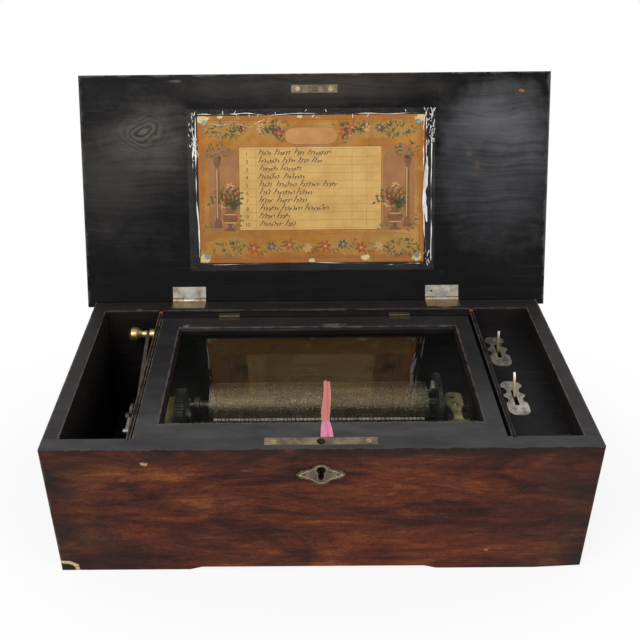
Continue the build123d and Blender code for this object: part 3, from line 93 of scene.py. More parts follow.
# ---- surfaces worked out as whole arrays ----
def grid_faces(rows, columns, around, along):
    """Quads between neighbouring points of a grid, closed across columns or rows where asked."""
    index = np.arange(rows * columns).reshape(rows, columns)
    if around:
        index = np.hstack([index, index[:, :1]])
    if along:
        index = np.vstack([index, index[:1]])
    a, b, c, d = index[:-1, :-1], index[:-1, 1:], index[1:, 1:], index[1:, :-1]
    return np.stack([a, b, c, d], axis=-1).reshape(-1, 4)


def placed_object(name, data):
    made = bpy.data.objects.new(name, data)
    bpy.context.scene.collection.objects.link(made)
    return made


def grid_piece(name, grids, body, material, around=False, along=False, caps=False, smooth=True, tint=None):
    """One object from one grid of points or several: each grid is rows by columns by three, in millimetres."""
    grids = [np.asarray(g, float) for g in grids]
    points = []
    faces = []
    tints = []
    start = 0
    for number, grid in enumerate(grids):
        rows, columns, _ = grid.shape
        points.append(grid.reshape(-1, 3))
        faces += (grid_faces(rows, columns, around, along) + start).tolist()
        if caps:
            faces.append((np.arange(columns)[::-1] + start).tolist())
            faces.append((np.arange(columns) + start + (rows - 1) * columns).tolist())
        if tint is not None:
            tints.append(np.full(rows * columns, float(tint[number])))
        start += rows * columns
    mesh = bpy.data.meshes.new(name)
    mesh.from_pydata((np.vstack(points) * MM).tolist(), [], faces)
    if tint is not None:
        attribute = mesh.attributes.new("tint", "FLOAT", "POINT")
        attribute.data.foreach_set("value", np.concatenate(tints).astype(np.float32))
    mesh.polygons.foreach_set("use_smooth", [smooth] * len(mesh.polygons))
    mesh.validate()
    mesh.update()
    piece = placed_object(name, mesh)
    mesh.materials.append(material)
    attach(piece, body)
    return piece


def on_lid(x, t, lift):
    """A point of the open lid's inner face: x across, t up from the hinge axis and lift off the face."""
    x, t, lift = np.broadcast_arrays(np.asarray(x, float), np.asarray(t, float), np.asarray(lift, float))
    y = LID_AXIS[1] + np.sin(LEAN) * t - np.cos(LEAN) * lift
    z = LID_AXIS[2] + np.cos(LEAN) * t + np.sin(LEAN) * lift
    return np.stack([x, y, z], axis=-1)


def stroke_sides(path, width):
    """The two edges of a flat stroke along a path, half its width square to the path at each point."""
    path = np.asarray(path, float)
    run = np.gradient(path, axis=0)
    run /= np.maximum(np.linalg.norm(run, axis=1, keepdims=True), 1e-9)
    side = np.stack([-run[:, 1], run[:, 0]], axis=1) * (np.asarray(width, float).reshape(-1, 1) / 2)
    return path - side, path + side


def strip_on_lid(path, width, lift):
    """A flat stroke along a path of (x, t) points on the lid."""
    return np.stack([on_lid(edge[:, 0], edge[:, 1], lift) for edge in stroke_sides(path, width)], axis=1)


def tube(path, radius, sides=10):
    """A round profile carried along a path, its frame kept upright by a fixed side vector."""
    path = np.asarray(path, float)
    run = np.gradient(path, axis=0)
    run /= np.linalg.norm(run, axis=1, keepdims=True)
    guide = np.array([0.31, 0.17, 0.93])
    across = np.cross(run, guide)
    across /= np.linalg.norm(across, axis=1, keepdims=True)
    up = np.cross(across, run)
    turn = np.linspace(0, 2 * np.pi, sides, endpoint=False)
    radius = np.broadcast_to(np.asarray(radius, float), (len(path),))
    ring = np.cos(turn)[None, :, None] * across[:, None, :] + np.sin(turn)[None, :, None] * up[:, None, :]
    return path[:, None, :] + ring * radius[:, None, None]


# ---- building materials ----
def is_socket(value):
    return isinstance(value, bpy.types.NodeSocket)


def tree_of(*values):
    """The node tree of the first socket among the values."""
    return next(value.id_data for value in values if is_socket(value))


def fill(node, values):
    """Gives each named input a plain value or a link."""
    for key, value in values.items():
        if is_socket(value):
            node.id_data.links.new(value, node.inputs[key])
        else:
            node.inputs[key].default_value = value
    return node


def put(tree, kind, values=None, **settings):
    """Adds a node, sets its properties, then fills its inputs."""
    made = tree.nodes.new(kind)
    for key, value in settings.items():
        setattr(made, key, value)
    return fill(made, values or {})


def maths(operation, a, b=0.5, clamp=False):
    return put(tree_of(a, b), "ShaderNodeMath", {0: a, 1: b}, operation=operation, use_clamp=clamp).outputs[0]


def times(a, b, clamp=False):
    return maths("MULTIPLY", a, b, clamp)


def plus(a, b):
    return maths("ADD", a, b)


def minus(a, b):
    return maths("SUBTRACT", a, b)


def vector(operation, a, b):
    """A vector sum, difference, product or quotient, or the one number that a dot product gives."""
    made = put(tree_of(a, b), "ShaderNodeVectorMath", {0: a, 1: b}, operation=operation)
    return made.outputs["Value" if operation == "DOT_PRODUCT" else "Vector"]


def scaled_by(a, factor):
    return put(a.id_data, "ShaderNodeVectorMath", {0: a, "Scale": factor}, operation="SCALE").outputs[0]


def length_of(a):
    return put(a.id_data, "ShaderNodeVectorMath", {0: a}, operation="LENGTH").outputs["Value"]


def parts_of(a):
    return put(a.id_data, "ShaderNodeSeparateXYZ", {0: a}).outputs


def remap(value, low, high, to_low=0.0, to_high=1.0):
    """A value stretched from one range to another and held within it."""
    return put(value.id_data, "ShaderNodeMapRange", {"Value": value, "From Min": low, "From Max": high,
                                                     "To Min": to_low, "To Max": to_high}).outputs[0]


def opaque(tone):
    return tone if is_socket(tone) else (*tone, 1.0)


def blend(share, a, b):
    """A colour between a and b."""
    return put(share.id_data, "ShaderNodeMix", {0: share, 6: opaque(a), 7: opaque(b)}, data_type="RGBA").outputs[2]


def ramp(value, tones):
    """A colour ramp with a list of (place, colour) stops."""
    made = put(value.id_data, "ShaderNodeValToRGB", {0: value})
    elements = made.color_ramp.elements
    for number, (at, tone) in enumerate(tones):
        element = elements[number] if number < 2 else elements.new(at)
        element.position = at
        element.color = opaque(tone)
    return made


def stretched(place, scale, turn=(0, 0, 0)):
    return put(place.id_data, "ShaderNodeMapping", {"Vector": place, "Scale": scale, "Rotation": turn}).outputs[0]


def cloud(place, scale, detail=4.0, rough=0.55, distort=0.0):
    return put(place.id_data, "ShaderNodeTexNoise", {"Vector": place, "Scale": scale, "Detail": detail,
                                                     "Roughness": rough, "Distortion": distort}).outputs[0]


def effect(name, inputs, outputs):
    """An empty shader node group with inputs by name and default, and plain outputs by name."""
    tree = bpy.data.node_groups.new(name, "ShaderNodeTree")
    for key, value in inputs.items():
        kind = "NodeSocketVector" if isinstance(value, tuple) else "NodeSocketFloat"
        tree.interface.new_socket(key, in_out="INPUT", socket_type=kind).default_value = value
    for key in outputs:
        tree.interface.new_socket(key, in_out="OUTPUT", socket_type="NodeSocketFloat")
    return tree, tree.nodes.new("NodeGroupInput").outputs, tree.nodes.new("NodeGroupOutput")


def make_grain():
    """Wood grain: streaks along one way and fine pores, from one position stretched three ways."""
    tree, given, out = effect("wood grain", {"Vector": ORIGIN, "Length": 12.0, "Across": 120.0},
                              ("Streaks", "Pores", "Height"))
    stretch = put(tree, "ShaderNodeCombineXYZ", {0: given["Length"], 1: given["Across"], 2: given["Across"]})
    lifted = times(cloud(given["Vector"], 9.0, 2.0), 0.035)
    sway = put(tree, "ShaderNodeCombineXYZ", {1: lifted, 2: lifted})
    bent = vector("ADD", given["Vector"], sway.outputs[0])
    drawn = vector("MULTIPLY", bent, stretch.outputs[0])
    streaks = cloud(drawn, 1.0, 6.0, 0.65)
    pores = remap(cloud(stretched(drawn, (1.6, 5.0, 5.0)), 1.0, 2.0), 0.6, 0.72)
    fill(out, {"Streaks": remap(streaks, 0.3, 0.7), "Pores": pores, "Height": minus(streaks, times(pores, 0.5))})
    return tree


def make_scratches():
    """Fine scratches: the thin zero lines of two clouds drawn out nearly straight and laid across each other."""
    tree, given, out = effect("scratches", {"Vector": ORIGIN, "Scale": 60.0, "Amount": 0.5}, ("Mask",))
    found = []
    for turn in (0.35, -1.1):
        lines = cloud(stretched(given["Vector"], (0.025, 1.0, 1.0), (0, turn, turn)), given["Scale"], 1.0, 0.4)
        found.append(remap(maths("ABSOLUTE", minus(lines, 0.5)), 0.0, 0.008, 1.0, 0.0))
    both = maths("MAXIMUM", found[0], found[1])
    patchy = remap(cloud(given["Vector"], 14.0, 3.0), 0.52, 0.66)
    fill(out, {"Mask": times(times(both, patchy), given["Amount"])})
    return tree


def make_patina():
    """Age on metal: a broad cloud for tarnish, a fine one for spots, and the fine one again as height."""
    tree, given, out = effect("patina", {"Vector": ORIGIN, "Scale": 90.0, "Amount": 0.5},
                              ("Tarnish", "Spots", "Height"))
    broad = cloud(given["Vector"], given["Scale"], 5.0, 0.6)
    fine = cloud(given["Vector"], times(given["Scale"], 6.0), 3.0)
    fill(out, {"Tarnish": times(remap(broad, 0.35, 0.7), given["Amount"]),
               "Spots": times(remap(fine, 0.6, 0.75), given["Amount"]), "Height": fine})
    return tree


def make_edge_line():
    """A mark along a straight edge, used for wear and for painted highlights: how near a point lies to the line from
    Start to End, broken up by a cloud.
    """
    tree, given, out = effect("worn line", {"Vector": ORIGIN, "Start": ORIGIN, "End": (0.0, 0.0, 1.0),
                                            "Width": 0.002, "Breaks": 70.0}, ("Mask",))
    run = vector("SUBTRACT", given["End"], given["Start"])
    gap = vector("SUBTRACT", given["Vector"], given["Start"])
    share = maths("DIVIDE", vector("DOT_PRODUCT", gap, run), vector("DOT_PRODUCT", run, run), clamp=True)
    far = length_of(vector("SUBTRACT", gap, scaled_by(run, share)))
    broken = remap(cloud(given["Vector"], given["Breaks"], 5.0, 0.7), 0.36, 0.68, 0.0, 1.5)
    reach = plus(times(given["Width"], broken), 0.00001)
    fill(out, {"Mask": remap(maths("DIVIDE", far, reach), 0.4, 1.0, 1.0, 0.0)})
    return tree


def make_spot():
    """A worn or chipped spot: an ellipse of given half sizes round a centre, with a ragged rim."""
    tree, given, out = effect("spot", {"Vector": ORIGIN, "Centre": ORIGIN, "Half": (0.01, 0.01, 0.01),
                                       "Ragged": 0.5, "Soft": 0.3, "Detail": 120.0}, ("Mask",))
    far = length_of(vector("DIVIDE", vector("SUBTRACT", given["Vector"], given["Centre"]), given["Half"]))
    rim = minus(cloud(given["Vector"], given["Detail"], 4.0, 0.65), 0.5)
    ragged = plus(far, times(rim, times(given["Ragged"], 4.0)))
    fill(out, {"Mask": maths("DIVIDE", minus(1.0, ragged), given["Soft"], clamp=True)})
    return tree


GRAIN = make_grain()
SCRATCHES = make_scratches()
PATINA = make_patina()
EDGE_LINE = make_edge_line()
SPOT = make_spot()


def use(group, place, **values):
    """The outputs of an effect at a place, its other inputs given by name."""
    return put(place.id_data, "ShaderNodeGroup", {"Vector": place, **values}, node_tree=group).outputs


def new_material(name):
    """A material, its Principled node and the object's own coordinates."""
    material = bpy.data.materials.new(name)
    material.use_nodes = True
    tree = material.node_tree
    principled = [n for n in tree.nodes if n.type == "BSDF_PRINCIPLED"][0]
    return material, principled, put(tree, "ShaderNodeTexCoord").outputs["Object"]


def bump(principled, height, strength, distance):
    made = put(principled.id_data, "ShaderNodeBump", {"Height": height, "Strength": strength, "Distance": distance})
    fill(principled, {"Normal": made.outputs[0]})


def scaled_point(point):
    return tuple(value * MM for value in point)


def spot_mask(place, centre, half, **values):
    return use(SPOT, place, Centre=scaled_point(centre), Half=scaled_point(half), **values)["Mask"]


def wear_and_painted_light(place, colour, lines, spots):
    """Lays edge lines (start, end, width, tone, share) and spots (centre, half sizes, ragged, soft, tone, share) over
    a colour: wear and stains, and on some finishes painted highlights and painted shade."""
    for start, end, width, tone, share in lines:
        mask = use(EDGE_LINE, place, Start=scaled_point(start), End=scaled_point(end), Width=width * MM)["Mask"]
        colour = blend(times(mask, share), colour, tone)
    for centre, half, ragged, soft, tone, share in spots:
        mask = spot_mask(place, centre, half, Ragged=ragged, Soft=soft)
        colour = blend(times(mask, share), colour, tone)
    return colour


def beyond(place, planes):
    """A mask of what lies beyond any of the planes, each given as (outward normal, distance in millimetres)."""
    mask = 0.0
    for normal, distance in planes:
        reach = remap(vector("DOT_PRODUCT", place, normal), (distance - 0.2) * MM, distance * MM)
        mask = maths("MAXIMUM", mask, reach)
    return mask


def outer_colour(place, grain):
    """Outside faces: stained nearly black, with brown grain showing through where the stain has worn thin."""
    thin = remap(cloud(stretched(place, (0.7, 0.7, 1.3)), 9.0, 6.0, 0.62, 0.5), 0.36, 0.7)
    figured = blend(grain["Streaks"], (0.014, 0.0095, 0.0085), (0.052, 0.03, 0.021))
    figured = blend(times(grain["Pores"], 0.7), figured, (0.006, 0.005, 0.005))
    return blend(times(thin, 0.85), (0.0125, 0.0105, 0.0105), figured)


def settled_dust(place, least):
    """Where dust lies: a cloud drawn out from side to side, between a least share and one."""
    return remap(cloud(stretched(place, (0.35, 1.0, 1.0)), 55.0, 6.0, 0.65), 0.3, 0.7, least, 1.0)


def knot_rings(place, knot, showing):
    """How far the grain shows in the painted sheen, with rings round a knot: each ring's line is moved by a cloud."""
    tree = place.id_data
    wander = put(tree, "ShaderNodeTexNoise", {"Vector": place, "Scale": 26.0, "Detail": 3.0}).outputs["Color"]
    middle = tuple(-(v + KNOT_SHIFT) * MM * k for v, k in zip(knot, KNOT_STRETCH))
    around = put(tree, "ShaderNodeMapping", {"Vector": vector("ADD", place, scaled_by(wander, 0.026)),
                                             "Scale": KNOT_STRETCH, "Location": middle}).outputs[0]
    rings = put(tree, "ShaderNodeTexWave", {"Vector": around, "Scale": 40.0, "Distortion": 2.0, "Detail": 2.0,
                                            "Detail Scale": 14.0}, wave_type="RINGS", rings_direction="SPHERICAL")
    near = spot_mask(place, knot, (36, 30, 30), Ragged=0.5, Soft=1.0, Detail=40.0)
    return put(tree, "ShaderNodeMix", {0: times(near, 0.8), 2: showing,
                                       3: remap(rings.outputs["Fac"], 0.1, 0.9, 0.1, 1.0)}).outputs[0]


def ebonised(name, base=(0.0075, 0.0068, 0.0072), worn=(0.03, 0.026, 0.024), scuffs=0.35, along=(1.0, 1.0, 1.0),
             rough=0.34, lines=(), spots=(), dust=0.0, dust_tone=(0.1, 0.098, 0.1), dust_back=1.0, dust_reach=0.0,
             painted_sheen=(), knot=None, outer=()):
    """Black-stained wood under old varnish: dark grain, scuffs, scratches, worn edges (some with a painted highlight),
    dust on what faces up (less of it towards the back), painted sheen (centre, half sizes, tone): lighter patches
    painted where the varnish would catch light, in which the grain shows with rings round a knot, and another colour
    beyond the outer planes."""
    material, principled, place = new_material(name)
    grain = use(GRAIN, stretched(place, along), Length=7.0, Across=170.0)
    colour = blend(times(grain["Streaks"], 0.6), base, tuple(2.4 * c for c in base))
    dull = remap(cloud(place, 16.0, 5.0, 0.65), 0.45, 0.75)
    colour = blend(times(dull, 0.35), colour, worn)
    if dust:
        facing = put(place.id_data, "ShaderNodeNewGeometry").outputs["Normal"]
        level = remap(parts_of(facing)[2], 0.75, 0.97)
        thinned = remap(parts_of(place)[1], -0.1, dust_reach, dust, dust * dust_back)
        colour = blend(times(times(level, settled_dust(place, 0.45)), thinned), colour, dust_tone)
    showing = remap(grain["Streaks"], 0.0, 1.0, 0.35, 1.0)
    if knot:
        showing = knot_rings(place, knot, showing)
    if outer:
        outside = beyond(place, outer)
        showing = times(showing, minus(1.0, outside))
    # painted sheen: lighter patches where the varnish would catch light, the grain showing in them
    for centre, half, tone in painted_sheen:
        mask = spot_mask(place, centre, half, Ragged=0.3, Soft=1.0, Detail=22.0)
        colour = blend(times(mask, showing), colour, tone)
    if outer:
        colour = blend(outside, colour, outer_colour(place, grain))
    marks = use(SCRATCHES, place, Scale=45.0, Amount=scuffs)["Mask"]
    colour = blend(marks, colour, tuple(3.0 * c for c in worn))
    roughness = remap(cloud(place, 30.0, 5.0), 0.3, 0.7, rough - 0.07, rough + 0.12)
    fill(principled, {"Base Color": wear_and_painted_light(place, colour, lines, spots),
                      "Roughness": plus(roughness, times(grain["Pores"], 0.1)), "Specular IOR Level": WOOD_SHINE})
    bump(principled, grain["Height"], 0.3, 0.0006)
    return material


def veneer_figure(place, parts, grain):
    """The veneer's clean colour: patches drawn out along the grain, redder clouds low down, streaks and flecks."""
    broad = cloud(stretched(place, (7.0, 7.0, 21.0)), 1.0, 7.0, 0.68, 0.9)
    middle = cloud(stretched(place, (24.0, 24.0, 130.0)), 1.0, 6.0, 0.7, 0.4)
    figure = plus(times(broad, 0.68), times(middle, 0.32))
    colour = ramp(figure, ((0.38, (0.015, 0.0080, 0.0074)), (0.63, (0.275, 0.086, 0.024)),
                           (0.45, (0.050, 0.0150, 0.0102)), (0.53, (0.128, 0.0325, 0.0142)))).outputs[0]
    redder = remap(cloud(stretched(place, (0.8, 1.0, 1.6)), 11.0, 4.0, 0.6), 0.5, 0.7)
    redder = times(redder, remap(parts[2], 0.11, 0.03))
    colour = blend(times(redder, 0.55), colour, (0.135, 0.0235, 0.0155))
    colour = blend(times(grain["Streaks"], 0.42), colour, (0.034, 0.0115, 0.0085))
    flecks = remap(cloud(stretched(place, (0.45, 0.45, 1.5)), 620.0, 4.0, 0.7), 0.34, 0.66, 0.66, 1.3)
    return blend(times(grain["Pores"], 0.6), scaled_by(colour, flecks), (0.012, 0.006, 0.0055))


def chipped_corner(place, colour):
    """The lower left corner: bare fibres along a ragged slanting rim, and shade where the wood is gone."""
    slant = length_of(vector("ADD", stretched(place, (0.72, 0.0, 1.0)), (0.26 * 0.72, 0.0, 0.0)))
    torn = plus(slant, times(minus(cloud(place, 210.0), 0.5), 0.006))
    missing = remap(torn, 0.0106, 0.0100)
    raw = times(remap(torn, 0.0144, 0.0138), remap(torn, 0.0100, 0.0106))
    colour = blend(missing, colour, (0.018, 0.013, 0.011))
    fibres = remap(cloud(stretched(place, (60.0, 60.0, 700.0)), 1.0, 4.0), 0.35, 0.65)
    return blend(raw, colour, blend(fibres, (0.78, 0.6, 0.33), (0.42, 0.26, 0.11))), missing


def rosewood(name):
    """The front's veneer: orange-brown patches drawn out along the grain in a darker red-brown ground, dark towards the
    ends and the top, with a chipped lower left corner; its top edge and its inner side are black."""
    material, principled, place = new_material(name)
    parts = parts_of(place)
    grain = use(GRAIN, place, Length=14.0, Across=520.0)
    colour = veneer_figure(place, parts, grain)
    shade = maths("MAXIMUM", remap(maths("ABSOLUTE", parts[0]), 0.175, 0.262), remap(parts[2], 0.128, 0.157))
    cloudy = remap(cloud(stretched(place, (0.6, 1.0, 1.6)), 17.0, 5.0, 0.65, 0.5), 0.3, 0.62, 0.1, 1.3)
    colour = blend(times(times(shade, cloudy), 0.9, clamp=True), colour, (0.021, 0.0135, 0.0125))
    colour = blend(use(SCRATCHES, place, Scale=60.0, Amount=0.22)["Mask"], colour, (0.2, 0.1, 0.06))
    colour = wear_and_painted_light(place, colour, VENEER_EDGES, VENEER_SPOTS)
    colour, missing = chipped_corner(place, colour)
    top = remap(parts[2], 0.1583, 0.1588)
    inner = maths("MAXIMUM", remap(parts[1], -0.1235, -0.1225), top)
    upper = blend(times(settled_dust(place, 0.5), top), (0.012, 0.0115, 0.0125), (0.072, 0.069, 0.072))
    fill(principled, {"Base Color": blend(inner, colour, upper),
                      "Roughness": remap(cloud(place, 22.0, 5.0), 0.3, 0.7, 0.34, 0.55),
                      "Specular IOR Level": WOOD_SHINE})
    bump(principled, minus(grain["Height"], times(missing, 3.0)), 0.3, 0.0008)
    return material


def metal(name, base, tarnish, rough=0.3, amount=0.5, scale=90.0, plain_metallic=1.0, tarnish_metallic=0.55,
          patches=()):
    """A metal with its age: tarnish in clouds, dark spots, fine marks, and patches laid over it, used for painted
    highlights and painted shade.
    """
    material, principled, place = new_material(name)
    age = use(PATINA, place, Scale=scale, Amount=amount)
    colour = blend(age["Spots"], blend(age["Tarnish"], base, tarnish), (0.05, 0.035, 0.02))
    fill(principled, {"Base Color": wear_and_painted_light(place, colour, (), patches),
                      "Roughness": remap(age["Tarnish"], 0.0, 1.0, rough, rough + 0.25),
                      "Metallic": remap(age["Tarnish"], 0.0, 1.0, plain_metallic, tarnish_metallic)})
    bump(principled, age["Height"], 0.15, 0.0003)
    return material


def cylinder_metal(name):
    """The pinned barrel's brown-grey brass: pale dots where pins stand, in close rows, over rings of dull wear."""
    material, principled, place = new_material(name)
    age = use(PATINA, stretched(place, (1.0, 0.35, 0.35)), Scale=140.0, Amount=0.9)
    colour = blend(age["Tarnish"], (0.12, 0.088, 0.055), (0.055, 0.042, 0.03))
    dots = put(place.id_data, "ShaderNodeTexVoronoi", {"Vector": place, "Scale": 520.0})
    pins = remap(dots.outputs["Distance"], 0.42, 0.18)
    bare = remap(cloud(stretched(place, (0.15, 1.0, 1.0)), 90.0, 4.0, 0.6), 0.35, 0.65, 0.35, 0.8)
    fill(principled, {"Base Color": blend(times(pins, bare), colour, (0.32, 0.26, 0.175)), "Metallic": 0.7,
                      "Roughness": remap(age["Height"], 0.3, 0.7, 0.36, 0.52)})
    bump(principled, pins, 0.5, 0.0004)
    return material


def comb_steel(name):
    """The comb: grey-black steel with a painted highlight, a pale band along the tooth tips by the cylinder."""
    material, principled, place = new_material(name)
    # tips: where the painted highlight lies, along the tooth tips
    tips = remap(parts_of(place)[1], -0.0088, -0.0072)
    uneven = remap(cloud(stretched(place, (1.0, 0.1, 0.1)), 130.0, 4.0, 0.6), 0.34, 0.6, 0.35, 1.0)
    age = use(PATINA, place, Scale=120.0, Amount=0.8)
    colour = blend(age["Tarnish"], (0.06, 0.058, 0.055), (0.022, 0.02, 0.018))
    fill(principled, {"Base Color": blend(times(tips, uneven), colour, (0.72, 0.69, 0.6)),
                      "Metallic": remap(tips, 0.0, 1.0, 0.8, 0.3),
                      "Roughness": remap(age["Height"], 0.3, 0.7, 0.3, 0.45)})
    bump(principled, age["Height"], 0.15, 0.0003)
    return material


def round_card(x0, t0, x1, t1):
    """The four sides of a rectangle on the card, each from one corner to the next."""
    corners = ((x0, t0), (x1, t0), (x1, t1), (x0, t1))
    return [(corners[i], corners[(i + 1) % 4]) for i in range(4)]


def old_card(name):
    """The printed card's ground: ochre, foxed with brown, darker at its edge."""
    material, principled, place = new_material(name)
    mottled = cloud(place, 45.0, 6.0, 0.65)
    colour = blend(remap(mottled, 0.3, 0.7), (0.30, 0.110, 0.010), (0.50, 0.215, 0.028))
    paler = remap(cloud(place, 15.0, 5.0, 0.6, 0.4), 0.45, 0.68)
    colour = blend(times(paler, 0.7), colour, (0.52, 0.31, 0.085))
    sides = round_card(CARD_X[0], CARD_FOOT, CARD_X[1], CARD_HEAD)
    stains = [(on_lid(*a, 0), on_lid(*b, 0), wide, (0.40, 0.115, 0.008), 0.75)
              for (a, b), wide in zip(sides, (17, 13, 12, 12))]
    colour = wear_and_painted_light(place, colour, stains, ())
    foxed = remap(cloud(place, 120.0, 4.0, 0.6), 0.62, 0.74)
    fill(principled, {"Base Color": blend(times(foxed, 0.5), colour, (0.2, 0.085, 0.02)), "Roughness": 0.62,
                      "Specular IOR Level": 0.1})
    bump(principled, mottled, 0.1, 0.0003)
    return material


def printed(name, light, dark, scale=60.0):
    """Flat print that fades between two tones."""
    material, principled, place = new_material(name)
    fill(principled, {"Base Color": blend(remap(cloud(place, scale, 5.0, 0.6), 0.32, 0.68), light, dark),
                      "Roughness": 0.6, "Specular IOR Level": 0.25})
    return material


def foliage_print(name):
    """Print whose colour is read from each motif's own tint: greens, reds, browns, cream and a dull blue."""
    material, principled, place = new_material(name)
    tint = put(place.id_data, "ShaderNodeAttribute", attribute_name="tint").outputs["Fac"]
    steps = ramp(tint, ((0.0, (0.05, 0.075, 0.014)), (0.2, (0.12, 0.115, 0.02)), (0.4, (0.34, 0.045, 0.014)),
                        (0.55, (0.16, 0.06, 0.02)), (0.7, (0.60, 0.35, 0.14)), (0.85, (0.05, 0.07, 0.085))))
    steps.color_ramp.interpolation = "CONSTANT"
    faded = blend(remap(cloud(place, 160.0, 4.0), 0.35, 0.75, 0.05, 0.4), steps.outputs[0], (0.4, 0.17, 0.035))
    fill(principled, {"Base Color": faded, "Roughness": 0.6, "Specular IOR Level": 0.25})
    return material


def clear_glass(name):
    """The pane: clear, faintly green, with light let straight through so that it lights what lies below."""
    material, principled, place = new_material(name)
    tree = place.id_data
    fill(principled, {"Base Color": (0.88, 0.9, 0.87, 1.0), "Transmission Weight": 1.0, "IOR": 1.42,
                      "Roughness": remap(cloud(place, 25.0, 4.0), 0.35, 0.75, 0.0, 0.04)})
    passing = put(tree, "ShaderNodeBsdfTransparent", {"Color": (0.84, 0.86, 0.83, 1.0)})
    rays = put(tree, "ShaderNodeLightPath").outputs
    straight = maths("MAXIMUM", rays["Is Shadow Ray"], rays["Is Diffuse Ray"])
    mixed = put(tree, "ShaderNodeMixShader", {0: straight, 1: principled.outputs[0], 2: passing.outputs[0]})
    fill(tree.nodes["Material Output"], {"Surface": mixed.outputs[0]})
    return material


def clear_film(name, share, rough):
    """Thin clear film over the card: mostly see-through, with a milky, creased shine."""
    material, principled, place = new_material(name)
    creases = cloud(place, 42.0, 4.0, 0.6, 0.8)
    fill(principled, {"Base Color": (0.95, 0.93, 0.88, 1.0), "Roughness": rough, "Specular IOR Level": 0.08,
                      "Alpha": remap(creases, 0.3, 0.75, share * 0.5, share * 1.6)})
    bump(principled, creases, 0.5, 0.0015)
    return material


def silk_ribbon(name):
    """Satin ribbon: fine cross threads along its own map, pink where it is held, faded salmon at its end, and painted
    shade in a slanting fold.
    """
    material, principled, place = new_material(name)
    flat = put(place.id_data, "ShaderNodeUVMap", uv_map="along").outputs[0]
    across, down = parts_of(flat)[:2]
    colour = blend(remap(down, 0.12, 0.5), (0.78, 0.2, 0.36), (0.66, 0.17, 0.13))
    threads = put(place.id_data, "ShaderNodeTexWave", {"Vector": stretched(flat, (1.0, 60.0, 1.0)), "Scale": 1.0},
                  bands_direction="Y").outputs["Fac"]
    colour = blend(times(threads, 0.25), colour, (0.9, 0.55, 0.6))
    edge = remap(maths("ABSOLUTE", minus(across, 0.5)), 0.42, 0.5)
    colour = blend(times(edge, 0.4), colour, (0.9, 0.6, 0.65))
    # painted shade in a slanting fold near the held end
    slanting = plus(across, times(down, 0.5))
    fold_shade = remap(maths("ABSOLUTE", minus(slanting, 0.6)), 0.02, 0.13, 1.0, 0.0)
    fold_shade = times(fold_shade, remap(down, 0.34, 0.2))
    fill(principled, {"Base Color": blend(times(fold_shade, 0.6), colour, (0.42, 0.13, 0.34)), "Roughness": 0.5,
                      "Sheen Weight": 0.4, "Sheen Roughness": 0.4})
    bump(principled, threads, 0.25, 0.0002)
    return material


# ---- finishes ----
WARM_GREY = (0.13, 0.105, 0.085)
RED_WOOD = (0.3, 0.075, 0.03)
LID_FRONT = float(on_lid(0, 263.0, 0)[1]), float(on_lid(0, 263.0, 0)[2])
LID_OUTSIDE = float(LID_AXIS[1] * np.cos(LEAN) - LID_AXIS[2] * np.sin(LEAN)) + LID_THICKNESS - 0.4


def edges_back(z, y0, y1, runs):
    """Worn edges that run from front to back at one height, each given as (x, width, tone, share)."""
    return tuple(((x, y0, z), (x, y1, z), width, tone, share) for x, width, tone, share in runs)


def level_edges(z, runs):
    """Worn edges at one height, each given as (start, end, width, tone, share) with level starts and ends."""
    return tuple(((*start, z), (*end, z), width, tone, share) for start, end, width, tone, share in runs)


